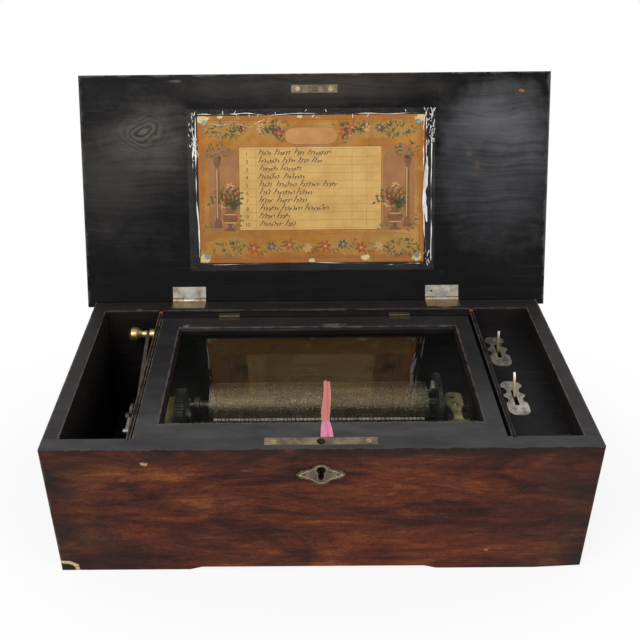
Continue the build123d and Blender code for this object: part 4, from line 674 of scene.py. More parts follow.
WOODS = {
    "case_wood": ebonised("black_case", base=(0.011, 0.0095, 0.009), scuffs=0.5, rough=0.4, dust=0.6,
                          dust_tone=(0.075, 0.072, 0.074), dust_back=0.1, dust_reach=0.12,
                          outer=(((1.0, 0.0, 0.0), 259.6), ((-1.0, 0.0, 0.0), 259.6), ((0.0, 1.0, 0.0), 125.6)),
                          lines=edges_back(TOP, FRONT, BACK, [(x, 2.4, WARM_GREY, 0.8) for x in (-SIDE, SIDE)])
                          + edges_back(TOP, -111, 107, [(x, 1.8, WARM_GREY, 0.7) for x in (-244.5, 244.5)])
                          + level_edges(TOP, (((-244, 107.5), (244, 107.5), 2.0, WARM_GREY, 0.6),)),
                          spots=(((150, 112, TOP), (9, 3, 2), 0.6, 0.5, (0.22, 0.12, 0.06), 0.6),
                                 ((-205, 110, TOP), (6, 3, 2), 0.6, 0.5, (0.2, 0.1, 0.05), 0.6))),
    "dark_wood": ebonised("black_inner_wood", base=(0.006, 0.0055, 0.0056), scuffs=0.35, rough=0.36, dust=0.06,
                          lines=edges_back(157.5, -111, 107, ((-178, 1.5, WARM_GREY, 0.75),
                                                              (-182, 1.5, (0.2, 0.13, 0.08), 0.7),
                                                              (178, 1.4, WARM_GREY, 0.6), (182, 1.2, WARM_GREY, 0.5))),
                          spots=tuple(((x, 106, 157.5), (3.2, 3.4, 4), 0.3, 0.4, RED_WOOD, 1.0) for x in (-180, 180))),
    "lid": ebonised("black_lid", base=(0.0042, 0.0038, 0.0042), worn=(0.016, 0.014, 0.014), scuffs=0.5, rough=0.3,
                    along=(0.8, 1.0, 1.0), knot=(-198, 197, 346),
                    outer=(((0.0, float(np.cos(LEAN)), float(-np.sin(LEAN))), LID_OUTSIDE),),
                    lines=(((-270, *LID_FRONT), (270, *LID_FRONT), 2.6, WARM_GREY, 0.7),
                           # partly wear and partly painted highlight: lighter bands along the lid's two sides where its
                           # rounded edge would catch light
                           ((270, 129, 160), (270, *LID_FRONT), 5.0, (0.085, 0.08, 0.08), 0.75),
                           ((-270, 129, 160), (-270, *LID_FRONT), 4.0, (0.075, 0.068, 0.066), 0.7)),
                    # painted sheen: lighter patches at the lid's left and right and a lighter band near its top, where
                    # the varnish would catch light
                    painted_sheen=(((-215, 186, 305), (95, 90, 105), (0.05, 0.047, 0.044)),
                           ((-192, 198, 342), (60, 50, 46), (0.12, 0.11, 0.098)),
                           ((-240, 190, 290), (40, 50, 70), (0.05, 0.046, 0.043)),
                           ((212, 186, 300), (85, 90, 115), (0.092, 0.091, 0.099)),
                           ((205, 205, 356), (80, 50, 56), (0.125, 0.122, 0.128)),
                           ((0, 216, 392), (230, 40, 26), (0.062, 0.054, 0.048))),
                    spots=(((178, 192, 318), (5, 6, 2.5), 0.5, 0.4, (0.11, 0.08, 0.06), 0.7),
                           ((188, 184, 306), (3, 6, 6), 0.5, 0.4, (0.1, 0.075, 0.06), 0.6),
                           ((237, 214, 385), (4, 5, 2), 0.4, 0.4, (0.34, 0.14, 0.05), 0.9),
                           ((-160, 218, 398), (12, 5, 1.6), 0.5, 0.5, (0.15, 0.12, 0.1), 0.6))),
    "glass_frame": ebonised("black_glass_lid", scuffs=0.35, rough=0.32, dust=0.95, dust_tone=(0.085, 0.086, 0.086),
                            dust_back=0.24,
                            lines=level_edges(156, (((-155.5, -87.5), (157.5, -87.5), 1.5, WARM_GREY, 0.75),
                                                    ((-155.5, -87.5), (-155.5, 76.5), 1.5, WARM_GREY, 0.75),
                                                    ((157.5, -87.5), (157.5, 76.5), 1.5, WARM_GREY, 0.7),
                                                    ((-155.5, 76.5), (157.5, 76.5), 1.4, WARM_GREY, 0.7),
                                                    ((-177, -109.5), (-177, 96.5), 1.6, (0.17, 0.12, 0.08), 0.7),
                                                    ((-177, -109.5), (174.5, -109.5), 1.2, WARM_GREY, 0.5))),
                            spots=(((-148, 79, 156), (4, 3, 3), 0.4, 0.4, (0.2, 0.14, 0.09), 0.8),
                                   ((20, 80, 156), (14, 3, 2), 0.6, 0.6, (0.16, 0.15, 0.14), 0.5)))}
PLAIN_METALS = {  # bare tone, tarnished tone, roughness, amount of tarnish, and for some the scale of its clouds
    "aged_brass": ((0.36, 0.305, 0.2), (0.1, 0.078, 0.05), 0.4, 1.0),
    "dark_brass": ((0.12, 0.098, 0.06), (0.035, 0.03, 0.022), 0.42, 0.9),
    "bright_brass": ((0.8, 0.62, 0.28), (0.34, 0.24, 0.1), 0.2, 0.5),
    "screw_brass": ((0.5, 0.4, 0.2), (0.16, 0.12, 0.06), 0.35, 0.9),
    "warm_nickel": ((0.46, 0.37, 0.25), (0.2, 0.12, 0.06), 0.3, 1.0),
    "raised_edge": ((0.36, 0.3, 0.21), (0.17, 0.135, 0.09), 0.34, 0.8),
    "catch_brass": ((0.2, 0.165, 0.105), (0.055, 0.045, 0.03), 0.42, 1.0, 70.0),
    "selvedge_brass": ((0.31, 0.26, 0.175), (0.08, 0.064, 0.043), 0.4, 1.0, 70.0),
    "handle_brass": ((0.62, 0.46, 0.2), (0.16, 0.11, 0.05), 0.22, 0.9),
    "dark_steel": ((0.075, 0.073, 0.07), (0.03, 0.027, 0.024), 0.4, 0.8)}
KEYHOLE_PAINTED_SHADE = (0.008, 0.006, 0.005)
COCK_SCREW = ((3.5, 1.2, 3), 0.2, 0.4, (0.03, 0.02, 0.012), 0.9)
NAMED_METALS = {
    "nickel": metal("worn_nickel", (0.5, 0.475, 0.415), (0.14, 0.12, 0.09), 0.27, 0.8),
    "steel": metal("grey_steel", (0.30, 0.295, 0.29), (0.09, 0.083, 0.075), 0.34, 0.7),
    "iron": metal("black_iron", (0.03, 0.03, 0.032), (0.02, 0.018, 0.016), 0.55, 0.6),
    # cock_brass patches: a near-black slot painted as the shade of an opening, dark spots at its two screws, and a pale
    # band painted as a highlight
    "cock_brass": metal("cock_brass", (0.9, 0.74, 0.34), (0.4, 0.3, 0.12), 0.4, 0.9, 160.0, 0.35, 0.1,
                        (((153, 40.5, 82), (4.2, 2.4, 3), 0.2, 0.3, (0.012, 0.008, 0.006), 0.95),
                         ((149.5, 15.5, 82), *COCK_SCREW), ((160.5, 15.5, 82), *COCK_SCREW),
                         ((155, 8, 82), (11, 3.4, 3), 0.3, 0.5, (1.0, 0.9, 0.6), 0.8))),
    # drum_brass patch: a painted highlight, a near-white hot spot on the drum
    "drum_brass": metal("drum_brass", (0.85, 0.68, 0.2), (0.42, 0.31, 0.08), 0.3, 0.7, 90.0, 0.15, 0.1,
                        (((-158, -27, 111), (8, 9, 11), 0.2, 0.9, (1.0, 0.93, 0.5), 1.0),)),
    # plate_ground patches: painted shade, near black, that draws the keyhole's opening larger than the hole
    "plate_ground": metal("plate_ground", (0.15, 0.115, 0.075), (0.065, 0.05, 0.033), 0.45, 0.9,
                          patches=(((0, -127, 132.8), (4.8, 4, 4.8), 0.05, 0.2, KEYHOLE_PAINTED_SHADE, 0.97),
                                   ((0, -127, 126), (3.4, 4, 6.2), 0.05, 0.2, KEYHOLE_PAINTED_SHADE, 0.97))),
    # lever_brass patch: a painted highlight, near white, over the upper parts of the levers
    "lever_brass": metal("lever_brass", (0.5, 0.38, 0.17), (0.2, 0.14, 0.06), 0.22, 0.6, plain_metallic=0.8,
                         patches=(((204, 20, 157), (60, 130, 9), 0.05, 0.5, (1.0, 0.97, 0.88), 0.9),))}
FINISH = {**WOODS, **NAMED_METALS, **{name: metal(name, *values) for name, values in PLAIN_METALS.items()},
          "case_veneer": rosewood("rosewood_veneer"), "comb_steel": comb_steel("comb_steel"),
          "cylinder_brass": cylinder_metal("cylinder_brass"), "card": old_card("old_card"),
          "film": clear_film("clear_film", 0.02, 0.16), "glass": clear_glass("clear_glass"),
          "ribbon": silk_ribbon("silk_ribbon")}
NODE_FINISH = {"lid_board": "lid", "glass_lid_frame": "glass_frame", "governor_cock": "cock_brass",
               "barrel_wheel": "dark_steel", "winding_lever": "dark_steel", "comb": "comb_steel", "lock_bolt": "iron",
               "card_pins": "steel", "hinge_lower_leaves": "warm_nickel", "start_lever": "lever_brass",
               "change_lever": "lever_brass",
               "lock_case": "selvedge_brass", "catch_plate": "catch_brass", "winding_handle": "handle_brass",
               "bedplate": "dark_brass", "movement_bearings": "dark_brass", "great_wheel": "dark_steel",
               "ratchet_wheel": "dark_steel", "bedplate_pillars": "dark_steel", "barrel_drum": "drum_brass",
               "glass_hinge_rail_leaves": "dark_brass", "glass_hinge_lid_leaves": "dark_brass",
               "case_screws": "screw_brass", "lid_screws": "screw_brass", "escutcheon": "plate_ground"}
for entry in frame["record"]["subparts"]:
    node = entry["node"]
    finish = FINISH[NODE_FINISH.get(node, entry["material_slot"])]
    shown = frame["nodes"][node]
    shown.data.materials.clear()
    shown.data.materials.append(finish)


# ---- the cylinder's pins ----
def cylinder_pins():
    """Thousands of short pins: each is a four-sided spike on the shell, at its tooth's column and a tune's offset."""
    low, high = node_box("cylinder_shell")
    radius = (high[2] - low[2]) / 2
    columns = np.linspace(low[0] + 7, high[0] - 7, 54)
    count = 5200
    beats = 150
    x = rng.choice(columns, count) + rng.integers(0, 10, count) * 0.36 - 1.6
    angle = np.round(rng.random(count) * beats) / beats * 2 * np.pi + rng.normal(0, 0.004, count)
    turn = np.linspace(0, 2 * np.pi, 4, endpoint=False)
    grids = []
    outward = np.stack([np.zeros(count), np.cos(angle), np.sin(angle)], axis=1)
    sideways = np.stack([np.zeros(count), -np.sin(angle), np.cos(angle)], axis=1)
    along = np.array([1.0, 0.0, 0.0])
    centre = np.stack([x, np.full(count, CYLINDER_AXIS[1]), np.full(count, CYLINDER_AXIS[2])], axis=1)
    for height, wide in ((-0.05, 0.2), (0.62, 0.09)):
        ring = (np.cos(turn)[None, :, None] * along + np.sin(turn)[None, :, None] * sideways[:, None, :]) * wide
        grids.append(centre[:, None, :] + outward[:, None, :] * (radius + height) + ring)
    points = np.stack(grids, axis=1).reshape(-1, 3)
    base = (np.arange(count) * 8)[:, None]
    order = np.array([[0, 1, 5, 4], [1, 2, 6, 5], [2, 3, 7, 6], [3, 0, 4, 7], [4, 5, 6, 7]])
    faces = (base[:, :, None] + order[None]).reshape(-1, 4)
    mesh = bpy.data.meshes.new("cylinder_pins")
    mesh.from_pydata((points * MM).tolist(), [], faces.tolist())
    mesh.materials.append(FINISH["nickel"])
    piece = placed_object("cylinder_pins", mesh)
    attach(piece, "cylinder")


cylinder_pins()


# ---- the tune card's print ----
INK_LIFT = CARD_FACE + 0.012
PANEL = (0.18, 0.81, 0.225, 0.79)
PANEL_INSET = 0.015
ROWS = 10
ROW_STEP = (PANEL[3] - PANEL[2] - 2 * PANEL_INSET) / ROWS
ORNAMENT_PRINT = foliage_print("ornament_print")


def card_piece(name, grids, look, tint=None):
    """Flat print laid on the card in one piece."""
    piece = grid_piece(name, grids, "lid", look, smooth=False, tint=tint)


def card_point(u, v):
    """A place on the card, from 0 to 1 across and up, as (x, t) on the lid."""
    return CARD_X[0] + (CARD_X[1] - CARD_X[0]) * u, CARD_FOOT + (CARD_HEAD - CARD_FOOT) * v


def card_panel():
    """The pale panel in the card's middle: a thin sheet with slightly wandering edges."""
    across = np.linspace(PANEL[0], PANEL[1], 40)
    up = np.linspace(PANEL[2], PANEL[3], 24)
    u, v = np.meshgrid(across, up)
    x, t = card_point(u, v)
    grid = on_lid(x, t, INK_LIFT - 0.006)
    card_piece("card_panel", [grid], printed("cream_print", (0.70, 0.44, 0.14), (0.56, 0.31, 0.08), 40.0))


def stroke_between(a, b, width):
    return strip_on_lid([a, b], width, INK_LIFT)


def card_lines():
    """Ruled rows and a column on the panel, its frame, and two lines round the card's edge."""
    strokes = []
    for row in range(ROWS + 1):
        v = PANEL[2] + PANEL_INSET + ROW_STEP * row
        strokes.append(stroke_between(card_point(PANEL[0] + 0.01, v), card_point(PANEL[1] - 0.01, v), 0.25))
    for u in (PANEL[0] + 0.075, PANEL[1] - 0.13, PANEL[1] - 0.065):
        ends = card_point(u, PANEL[2] + PANEL_INSET), card_point(u, PANEL[3] - PANEL_INSET)
        strokes.append(stroke_between(*ends, 0.25))
    for inset, width in ((0.02, 0.9), (0.03, 0.35)):
        reach = inset * (CARD_X[1] - CARD_X[0])
        sides = round_card(CARD_X[0] + reach, CARD_FOOT + reach, CARD_X[1] - reach, CARD_HEAD - reach)
        strokes += [stroke_between(a, b, width) for a, b in sides]
    u0, u1, v0, v1 = PANEL
    strokes += [stroke_between(card_point(*a), card_point(*b), 0.7) for a, b in round_card(u0, v0, u1, v1)]
    card_piece("card_lines", strokes, printed("brown_ink_lines", (0.2, 0.085, 0.03), (0.3, 0.15, 0.05)))


def pen_word(x, t, length, height):
    """Illegible penmanship: leaning loops, tall at the start of a word, as a stroke of changing width."""
    along = np.linspace(0, 1, int(length * 7))
    turns = length / 3.1
    swell = height * (0.45 + 0.3 * np.sin(along * rng.uniform(8, 14) + rng.uniform(0, 6)) ** 2)
    swell = swell + height * 0.75 * np.exp(-(along * length / 2.2) ** 2)
    swell = swell + height * 0.5 * np.exp(-((along - rng.uniform(0.35, 0.9)) * length / 1.2) ** 2)
    phase = along * turns * 2 * np.pi
    px = x + along * length + 0.95 * np.sin(phase) + 0.38 * swell * np.cos(phase)
    pt = t + swell * (0.5 + 0.5 * np.cos(phase)) + 0.35 * np.sin(along * 9)
    width = 0.38 + 0.6 * np.clip(np.sin(phase + 0.7), 0, 1)
    return strip_on_lid(np.stack([px, pt], axis=1), width, INK_LIFT + 0.004)


def row_foot(row, share):
    """The height on the card of a share of one ruled row, counted from the top."""
    return PANEL[3] - PANEL_INSET - ROW_STEP * (row + 1 - share)


def card_writing():
    """Two to four illegible words of pen strokes on each of the ten rows."""
    words = []
    for row in range(ROWS):
        x, t = card_point(PANEL[0] + 0.085, row_foot(row, 0.2))
        x += rng.uniform(0, 2)
        for _ in range(int(rng.integers(2, 5))):
            length = float(rng.uniform(11, 26))
            words.append(pen_word(x, t, length, 6.0))
            x += length + rng.uniform(3.5, 5.5)
            if x > card_point(PANEL[1] - 0.2, 0.5)[0]:
                break
    card_piece("card_writing", words, printed("dark_pen_ink", (0.022, 0.01, 0.005), (0.05, 0.022, 0.01), 150.0))


def card_numbers():
    """Plain numbers 1 to 10 down the panel's left column."""
    made = []
    for row in range(ROWS):
        x, t = card_point(PANEL[0] + 0.035, row_foot(row, 0.2))
        text = bpy.data.curves.new(f"number_{row + 1}", "FONT")
        text.body = str(row + 1)
        text.size = 6.2
        text.align_x = "CENTER"
        holder = placed_object(f"number_{row + 1}", text)
        bpy.context.view_layer.update()
        flat = bpy.data.meshes.new_from_object(holder.evaluated_get(bpy.context.evaluated_depsgraph_get()))
        points = np.zeros(len(flat.vertices) * 3)
        flat.vertices.foreach_get("co", points)
        points = points.reshape(-1, 3)
        placed = on_lid(points[:, 0] + x, points[:, 1] + t, INK_LIFT + 0.004)
        made.append((placed, [tuple(p.vertices) for p in flat.polygons]))
        bpy.data.objects.remove(holder)
        bpy.data.meshes.remove(flat)
    vertices = []
    faces = []
    for placed, polygons in made:
        faces += [tuple(i + len(vertices) for i in polygon) for polygon in polygons]
        vertices += (placed * MM).tolist()
    mesh = bpy.data.meshes.new("card_numbers")
    mesh.from_pydata(vertices, [], faces)
    mesh.materials.append(printed("dark_number_ink", (0.05, 0.025, 0.012), (0.1, 0.045, 0.02), 150.0))
    piece = placed_object("card_numbers", mesh)
    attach(piece, "lid")


def leaf(x, t, turn, length, width):
    """An almond: half width follows a sine from the stalk to the tip."""
    share = np.linspace(0, 1, 5)
    px = x + np.cos(turn) * length * share
    pt = t + np.sin(turn) * length * share
    return strip_on_lid(np.stack([px, pt], axis=1), width * np.sin(np.pi * share) + 0.05, INK_LIFT)


def spray(x, t, turn, length, leaves, tint, motifs, tints):
    """Leaves set by turns on the two sides of a curved stalk's line; the stalk itself is not drawn."""
    for number in range(leaves):
        share = (number + 0.5) / leaves
        bend = turn + 0.9 * (share - 0.5)
        px = x + np.cos(bend) * length * share
        pt = t + np.sin(bend) * length * share
        side = 1 if number % 2 else -1
        motifs.append(leaf(px, pt, bend + side * 0.8, length * 0.28 * (1.15 - 0.5 * share), length * 0.11))
        tints.append(tint if rng.random() < 0.7 else 0.3)


def rosette(x, t, size, tint, motifs, tints):
    """Petals set round a middle."""
    for petal in range(6):
        turn = petal * np.pi / 3 + 0.2
        motifs.append(leaf(x + np.cos(turn) * size * 0.15, t + np.sin(turn) * size * 0.15, turn, size, size * 0.55))
        tints.append(tint)
    for petal in range(3):
        turn = petal * 2 * np.pi / 3
        motifs.append(leaf(x, t, turn, size * 0.3, size * 0.3))
        tints.append(0.75)


def vase(x, t, size, motifs, tints):
    """A footed vase drawn as a stack of level strokes whose widths follow a turned outline."""
    outline = ((0.0, 0.5), (0.08, 0.5), (0.14, 0.16), (0.24, 0.14), (0.36, 0.5), (0.55, 0.68), (0.72, 0.56),
               (0.86, 0.3), (0.92, 0.3), (1.0, 0.46))
    path = np.array([(x, t + size * at) for at, _ in outline])
    motifs.append(strip_on_lid(path, np.array([size * wide for _, wide in outline]), INK_LIFT))
    tints.append(0.6)
    for at in (0.36, 0.72):
        band = [(x - size * 0.25, t + size * at), (x + size * 0.25, t + size * at)]
        motifs.append(strip_on_lid(band, size * 0.05, INK_LIFT + 0.003))
        tints.append(0.75)


def foliage(x, t, wide, tall, count, motifs, tints):
    """A mass of leaves: each lies at a seeded place in an ellipse and leans away from its middle."""
    turn = rng.random(count) * 2 * np.pi
    reach = np.sqrt(rng.random(count))
    for angle, far in zip(turn, reach):
        px = x + np.cos(angle) * far * wide
        pt = t + np.sin(angle) * far * tall
        motifs.append(leaf(px, pt, angle + rng.normal(0, 0.7), rng.uniform(3.2, 6.0), rng.uniform(1.3, 2.2)))
        tints.append(0.3 if rng.random() < 0.4 else 0.05)


def pillar(x, t, tall, motifs, tints):
    """A slim garden pillar drawn as level strokes: a stepped foot, a shaft that narrows upwards and a broad head."""
    outline = ((0.0, 9.5), (0.04, 9.5), (0.06, 7.5), (0.1, 7.5), (0.12, 5.6), (0.86, 4.4), (0.9, 7.0), (0.93, 8.0),
               (1.0, 8.6), (1.01, 8.6))
    path = np.array([(x, t + tall * at) for at, _ in outline])
    motifs.append(strip_on_lid(path, np.array([wide for _, wide in outline]), INK_LIFT))
    tints.append(0.6)
    light = [(x - 1.0, t + tall * 0.14), (x - 0.8, t + tall * 0.84)]
    motifs.append(strip_on_lid(light, 1.3, INK_LIFT + 0.003))
    tints.append(0.75)


def card_ornament():
    """Generic ornament round the panel: a pillar and a vase of flowers at each side, leaf masses at the corners,
    flowers along the head and the foot."""
    motifs = []
    tints = []
    for side, u in ((-1, 0.115), (1, 0.895)):
        x, t = card_point(u, 0.22)
        pillar(x + side * 8, t + 4, 82.0, motifs, tints)
        foliage(x + side * 8, t + 92, 13, 9, 34, motifs, tints)
        vase(x - side * 6, t, 27.0, motifs, tints)
        for turn in (0.7, 1.05, 1.4, 1.75, 2.1, 2.45):
            spray(x - side * 6, t + 26, turn, 25.0, 10, 0.05, motifs, tints)
        for dx, dt, tint in ((-7, 40, 0.45), (6, 44, 0.45), (0, 52, 0.75), (-3, 34, 0.45), (8, 33, 0.9),
                             (-9, 31, 0.75)):
            rosette(x - side * 6 + dx, t + dt, 4.6, tint, motifs, tints)
        for dx in (-14, 14):
            spray(x + dx * 0.4, t + 2, 1.57 - np.sign(dx) * 1.15, 20.0, 8, 0.25, motifs, tints)
    for u, v, wide, tall, count in ((0.12, 0.9, 20, 8, 60), (0.88, 0.9, 18, 8, 55), (0.9, 0.1, 20, 9, 60),
                                    (0.13, 0.1, 17, 8, 45), (0.34, 0.93, 16, 4, 26), (0.68, 0.92, 20, 5, 34)):
        x, t = card_point(u, v)
        foliage(x, t, wide, tall, count, motifs, tints)
    for number, u in enumerate(np.linspace(0.24, 0.8, 8)):
        x, t = card_point(u, 0.1 + 0.012 * (number % 3))
        rosette(x, t, 5.4 if number % 2 else 6.8, (0.45, 0.9, 0.45, 0.75)[number % 4], motifs, tints)
        spray(x + 4, t - 4, 0.4 if number % 2 else -0.1, 15.0, 7, 0.05, motifs, tints)
        spray(x - 3, t - 1, 2.4, 9.0, 6, 0.25, motifs, tints)
    for number, u in enumerate((0.2, 0.28, 0.34, 0.68, 0.74, 0.8)):
        x, t = card_point(u, 0.915)
        rosette(x, t, 5.0, (0.45, 0.75, 0.9)[number % 3], motifs, tints)
        spray(x, t - 3, 0.2 if number % 2 else 2.9, 17.0, 8, 0.05, motifs, tints)
    for side in (1, -1):
        x, t = card_point(0.5 + side * 0.13, 0.86)
        spray(x, t - 8, np.pi / 2 - side * 0.5, 22.0, 9, 0.05, motifs, tints)
        rosette(x + side * 4, t + 4, 6.5, 0.45, motifs, tints)
    for rows in sorted({len(m) for m in motifs}):
        chosen = [(m, c) for m, c in zip(motifs, tints) if len(m) == rows]
        card_piece(f"card_ornament_{rows}", [m for m, _ in chosen], ORNAMENT_PRINT, [c for _, c in chosen])


def card_washes():
    """Soft flat tints under the ornament: an arched niche at each side, and leafy washes whose rim wanders with the
    angle as summed sines."""
    arches = []
    rims = []
    for u0, u1 in ((0.045, 0.172), (0.818, 0.957)):
        x0, foot = card_point(u0, 0.22)
        x1, head = card_point(u1, 0.7)
        across = np.linspace(-1, 1, 30)
        lift = CARD_FACE + 0.004
        x = (x0 + x1) / 2 + (x1 - x0) / 2 * across
        top = head + (x1 - x0) / 2 * np.sqrt(1 - across ** 2)
        arches.append(np.stack([on_lid(x, foot, lift), on_lid(x, top, lift)]))
        rim = np.concatenate([[(x0, foot)], np.stack([x, top], axis=1), [(x1, foot)]])
        rims.append(strip_on_lid(rim, 0.8, INK_LIFT - 0.002))
    card_piece("card_niche_rims", rims, printed("niche_rim", (0.3, 0.11, 0.03), (0.4, 0.2, 0.06)))
    card_piece("card_niches", arches, printed("niche_wash", (0.38, 0.17, 0.05), (0.28, 0.115, 0.045), 55.0))
    turn = np.linspace(0, 2 * np.pi, 60)
    blots = []
    for number, (u, v, wide, tall) in enumerate(((0.14, 0.9, 26, 11), (0.86, 0.9, 26, 11), (0.14, 0.11, 27, 11),
                                                 (0.85, 0.11, 27, 11), (0.33, 0.885, 17, 9), (0.69, 0.885, 19, 9),
                                                 (0.4, 0.11, 30, 7), (0.62, 0.11, 26, 7))):
        x, t = card_point(u, v)
        rim = 1 + 0.1 * np.sin(5 * turn + number) + 0.07 * np.sin(11 * turn + 2 * number)
        lift = CARD_FACE + 0.006 + 0.0003 * number
        edge = on_lid(x + wide * rim * np.cos(turn), t + tall * rim * np.sin(turn), lift)
        blots.append(np.stack([np.broadcast_to(on_lid(x, t, lift), edge.shape), edge]))
    card_piece("card_leaf_washes", blots, printed("leaf_wash", (0.345, 0.19, 0.04), (0.43, 0.22, 0.04), 60.0))


card_washes()
card_panel()
card_lines()
card_writing()
card_numbers()
card_ornament()


def card_cartouche():
    """A bare title plate over the panel: a pale field whose half height is a power of the distance from its middle, and
    lines round it and round the foot's band, each a circle's sine and cosine raised to a power."""
    along = np.linspace(-1, 1, 60)
    middle, foot = card_point(0.5, 0.862)
    half = 30.0
    tall = 9.5 * (1 - np.abs(along) ** 6) ** 0.5
    x = middle + half * along
    field = np.stack([on_lid(x, foot - tall, INK_LIFT - 0.004), on_lid(x, foot + tall, INK_LIFT - 0.004)])
    card_piece("card_cartouche", [field], printed("faded_field", (0.56, 0.28, 0.085), (0.46, 0.2, 0.05), 60.0))
    turn = np.linspace(0, 2 * np.pi, 160)
    level, band = card_point(0.5, 0.118)
    rings = []
    for centre, reach, rise, power, wide in ((foot, half + 0.6, 10.1, 0.5, 0.7), (foot, half + 2.2, 11.7, 0.5, 0.35),
                                             (band, 116.0, 14.0, 0.2, 0.8), (band, 114.0, 12.2, 0.2, 0.35)):
        x = middle + reach * np.sign(np.cos(turn)) * np.abs(np.cos(turn)) ** power
        t = centre + rise * np.sign(np.sin(turn)) * np.abs(np.sin(turn)) ** power
        rings.append(strip_on_lid(np.stack([x, t], axis=1), wide, INK_LIFT))
    card_piece("card_cartouche_lines", rings, printed("cartouche_ink", (0.26, 0.1, 0.03), (0.34, 0.16, 0.05)))


card_cartouche()


def held_on_card(x, t, inset):
    """A place on the card kept at least an inset away from its edge."""
    return np.clip(x, CARD_X[0] + inset, CARD_X[1] - inset), np.clip(t, CARD_FOOT + inset, CARD_HEAD - inset)


def card_torn_corners():
    """Pale torn patches at the card's corners: fans whose radius wanders with the angle."""
    patches = []
    turn = np.linspace(0, 2 * np.pi, 26)
    lift = INK_LIFT + 0.006
    corners = ((0.02, 0.975, 19.0), (0.98, 0.975, 15.0), (0.02, 0.03, 17.0), (0.97, 0.03, 15.0), (0.45, 0.992, 7.0),
               (0.5, 0.012, 9.0), (0.74, 0.03, 12.0), (0.1, 0.995, 8.0))
    for u, v, size in corners:
        x, t = card_point(u, v)
        wander = size * 0.5 * (0.6 + 0.4 * rng.random(len(turn)))
        wander[-1] = wander[0]
        rim = on_lid(*held_on_card(x + wander * np.cos(turn), t + wander * np.sin(turn) * 0.7, 0.2), lift)
        heart = on_lid(*held_on_card(x, t, 1), lift)
        patches.append(np.stack([np.broadcast_to(heart, rim.shape), rim]))
    card_piece("card_torn_corners", patches, printed("torn_card", (0.72, 0.6, 0.3), (0.62, 0.48, 0.2), 120.0))


card_torn_corners()


# ---- the clear film over the card ----
def card_film():
    """The film: a sheet a little proud of the card whose edges wave and curl up, by summed sines of its own place."""
    low, high = node_box("card_film")
    x = np.linspace(low[0], high[0], 120)
    t = np.linspace(FILM_FOOT, FILM_HEAD, 90)
    x, t = np.meshgrid(x, t)
    edge = np.minimum(np.minimum(x - low[0], high[0] - x), np.minimum(t - FILM_FOOT, FILM_HEAD - t))
    curl = np.clip(1 - edge / 11.0, 0, 1)
    wave = 0.5 + 0.5 * np.sin(x * 0.31 + 2 * np.sin(t * 0.13)) * np.sin(t * 0.37 + 1.3 * np.sin(x * 0.07))
    lift = CARD_FACE + 0.12 + curl * (0.3 + 0.9 * wave) + 0.06 * wave
    piece = grid_piece("film_sheet", [on_lid(x, t, lift)], "lid", FINISH["film"])
    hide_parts("card_film")


def long_glint(start, end, wide, whole):
    """A stroke between two places: its line is a smoothed random walk brought back to its ends, and its width a sum of
    sines that breaks off where it falls below nothing."""
    (x0, t0), (x1, t1) = start, end
    share = np.linspace(0, 1, GLINT_POINTS)
    walk = np.pad(np.cumsum(rng.normal(0, 0.3, GLINT_POINTS)), 6, "edge")
    wander = np.convolve(walk, np.ones(13) / 13, "valid")
    wander -= np.linspace(wander[0], wander[-1], GLINT_POINTS)
    level = abs(x1 - x0) > abs(t1 - t0)
    x = x0 + (x1 - x0) * share + (0 if level else wander)
    t = t0 + (t1 - t0) * share + (wander if level else 0)
    wave = np.sin(share * rng.uniform(7, 11) + rng.uniform(0, 6)) + 0.6 * np.sin(share * 31 + rng.uniform(0, 6))
    broken = np.clip(0.5 * wave + whole, 0.04, 1) * np.sin(np.pi * np.clip(share, 0.02, 0.98)) ** 0.4
    return strip_on_lid(np.stack([x, t], axis=1), 1.35 * wide * broken, GLINT_LIFT)


def short_glint(x0, x1, t0, t1):
    """A short spindle at a seeded place and angle."""
    x, t = rng.uniform(x0, x1), rng.uniform(t0, t1)
    turn, length = rng.uniform(0.9, 2.2), rng.uniform(1.5, 6.0)
    share = np.linspace(-0.5, 0.5, 5)
    path = np.stack([x + np.cos(turn) * length * share, t + np.sin(turn) * length * share], axis=1)
    return strip_on_lid(path, 0.75 * np.cos(np.pi * share) + 0.04, GLINT_LIFT)


def film_glints():
    """Shine on the film's rolled edges and creases: long strokes along each side, broken where the roll turns away, and
    short glints scattered beside them."""
    left, right = (corner[0] for corner in node_box("card_film"))
    runs = (((right - 3.5, 46), (right - 4.5, 196), 1.2, 0.5), ((right - 9.5, 56), (right - 10.5, 212), 1.7, 0.7),
            ((right - 9.0, 92), (right - 9.5, 168), 3.4, 0.8), ((right - 13.5, 150), (right - 12.5, 215), 1.0, 0.4),
            ((left + 11.0, 52), (left + 10.0, 214), 1.5, 0.6), ((left + 5.0, 150), (left + 5.5, 219), 1.7, 0.5),
            ((left + 12, 217.6), (left + 92, 216.2), 0.9, 0.4), ((left + 92, 216.2), (right - 20, 217.6), 0.8, 0.3),
            ((left + 24, 207), (left + 72, 202), 0.45, 0.3), ((left + 72, 202), (left + 96, 213), 0.45, 0.5),
            ((left + 20, 43.4), (right - 60, 42.6), 0.6, 0.1), ((right - 58, 41), (right - 6, 41), 0.8, -0.1))
    strokes = [long_glint(*run) for run in runs]
    for count, *area in ((46, right - 13, right - 1, 180, 222), (30, left + 2, left + 12, 165, 222),
                         (10, right - 13, right - 2, 40, 60), (12, left + 20, right - 20, 214, 222)):
        strokes += [short_glint(*area) for _ in range(count)]
    for rows in (5, GLINT_POINTS):
        piece = grid_piece(f"film_glints_{rows}", [k for k in strokes if len(k) == rows], "lid", GLINT)


GLINT = clear_film("film_glint", 0.9, 0.2)
GLINT_POINTS = 90
GLINT_LIFT = CARD_FACE + 1.5
card_film()
film_glints()


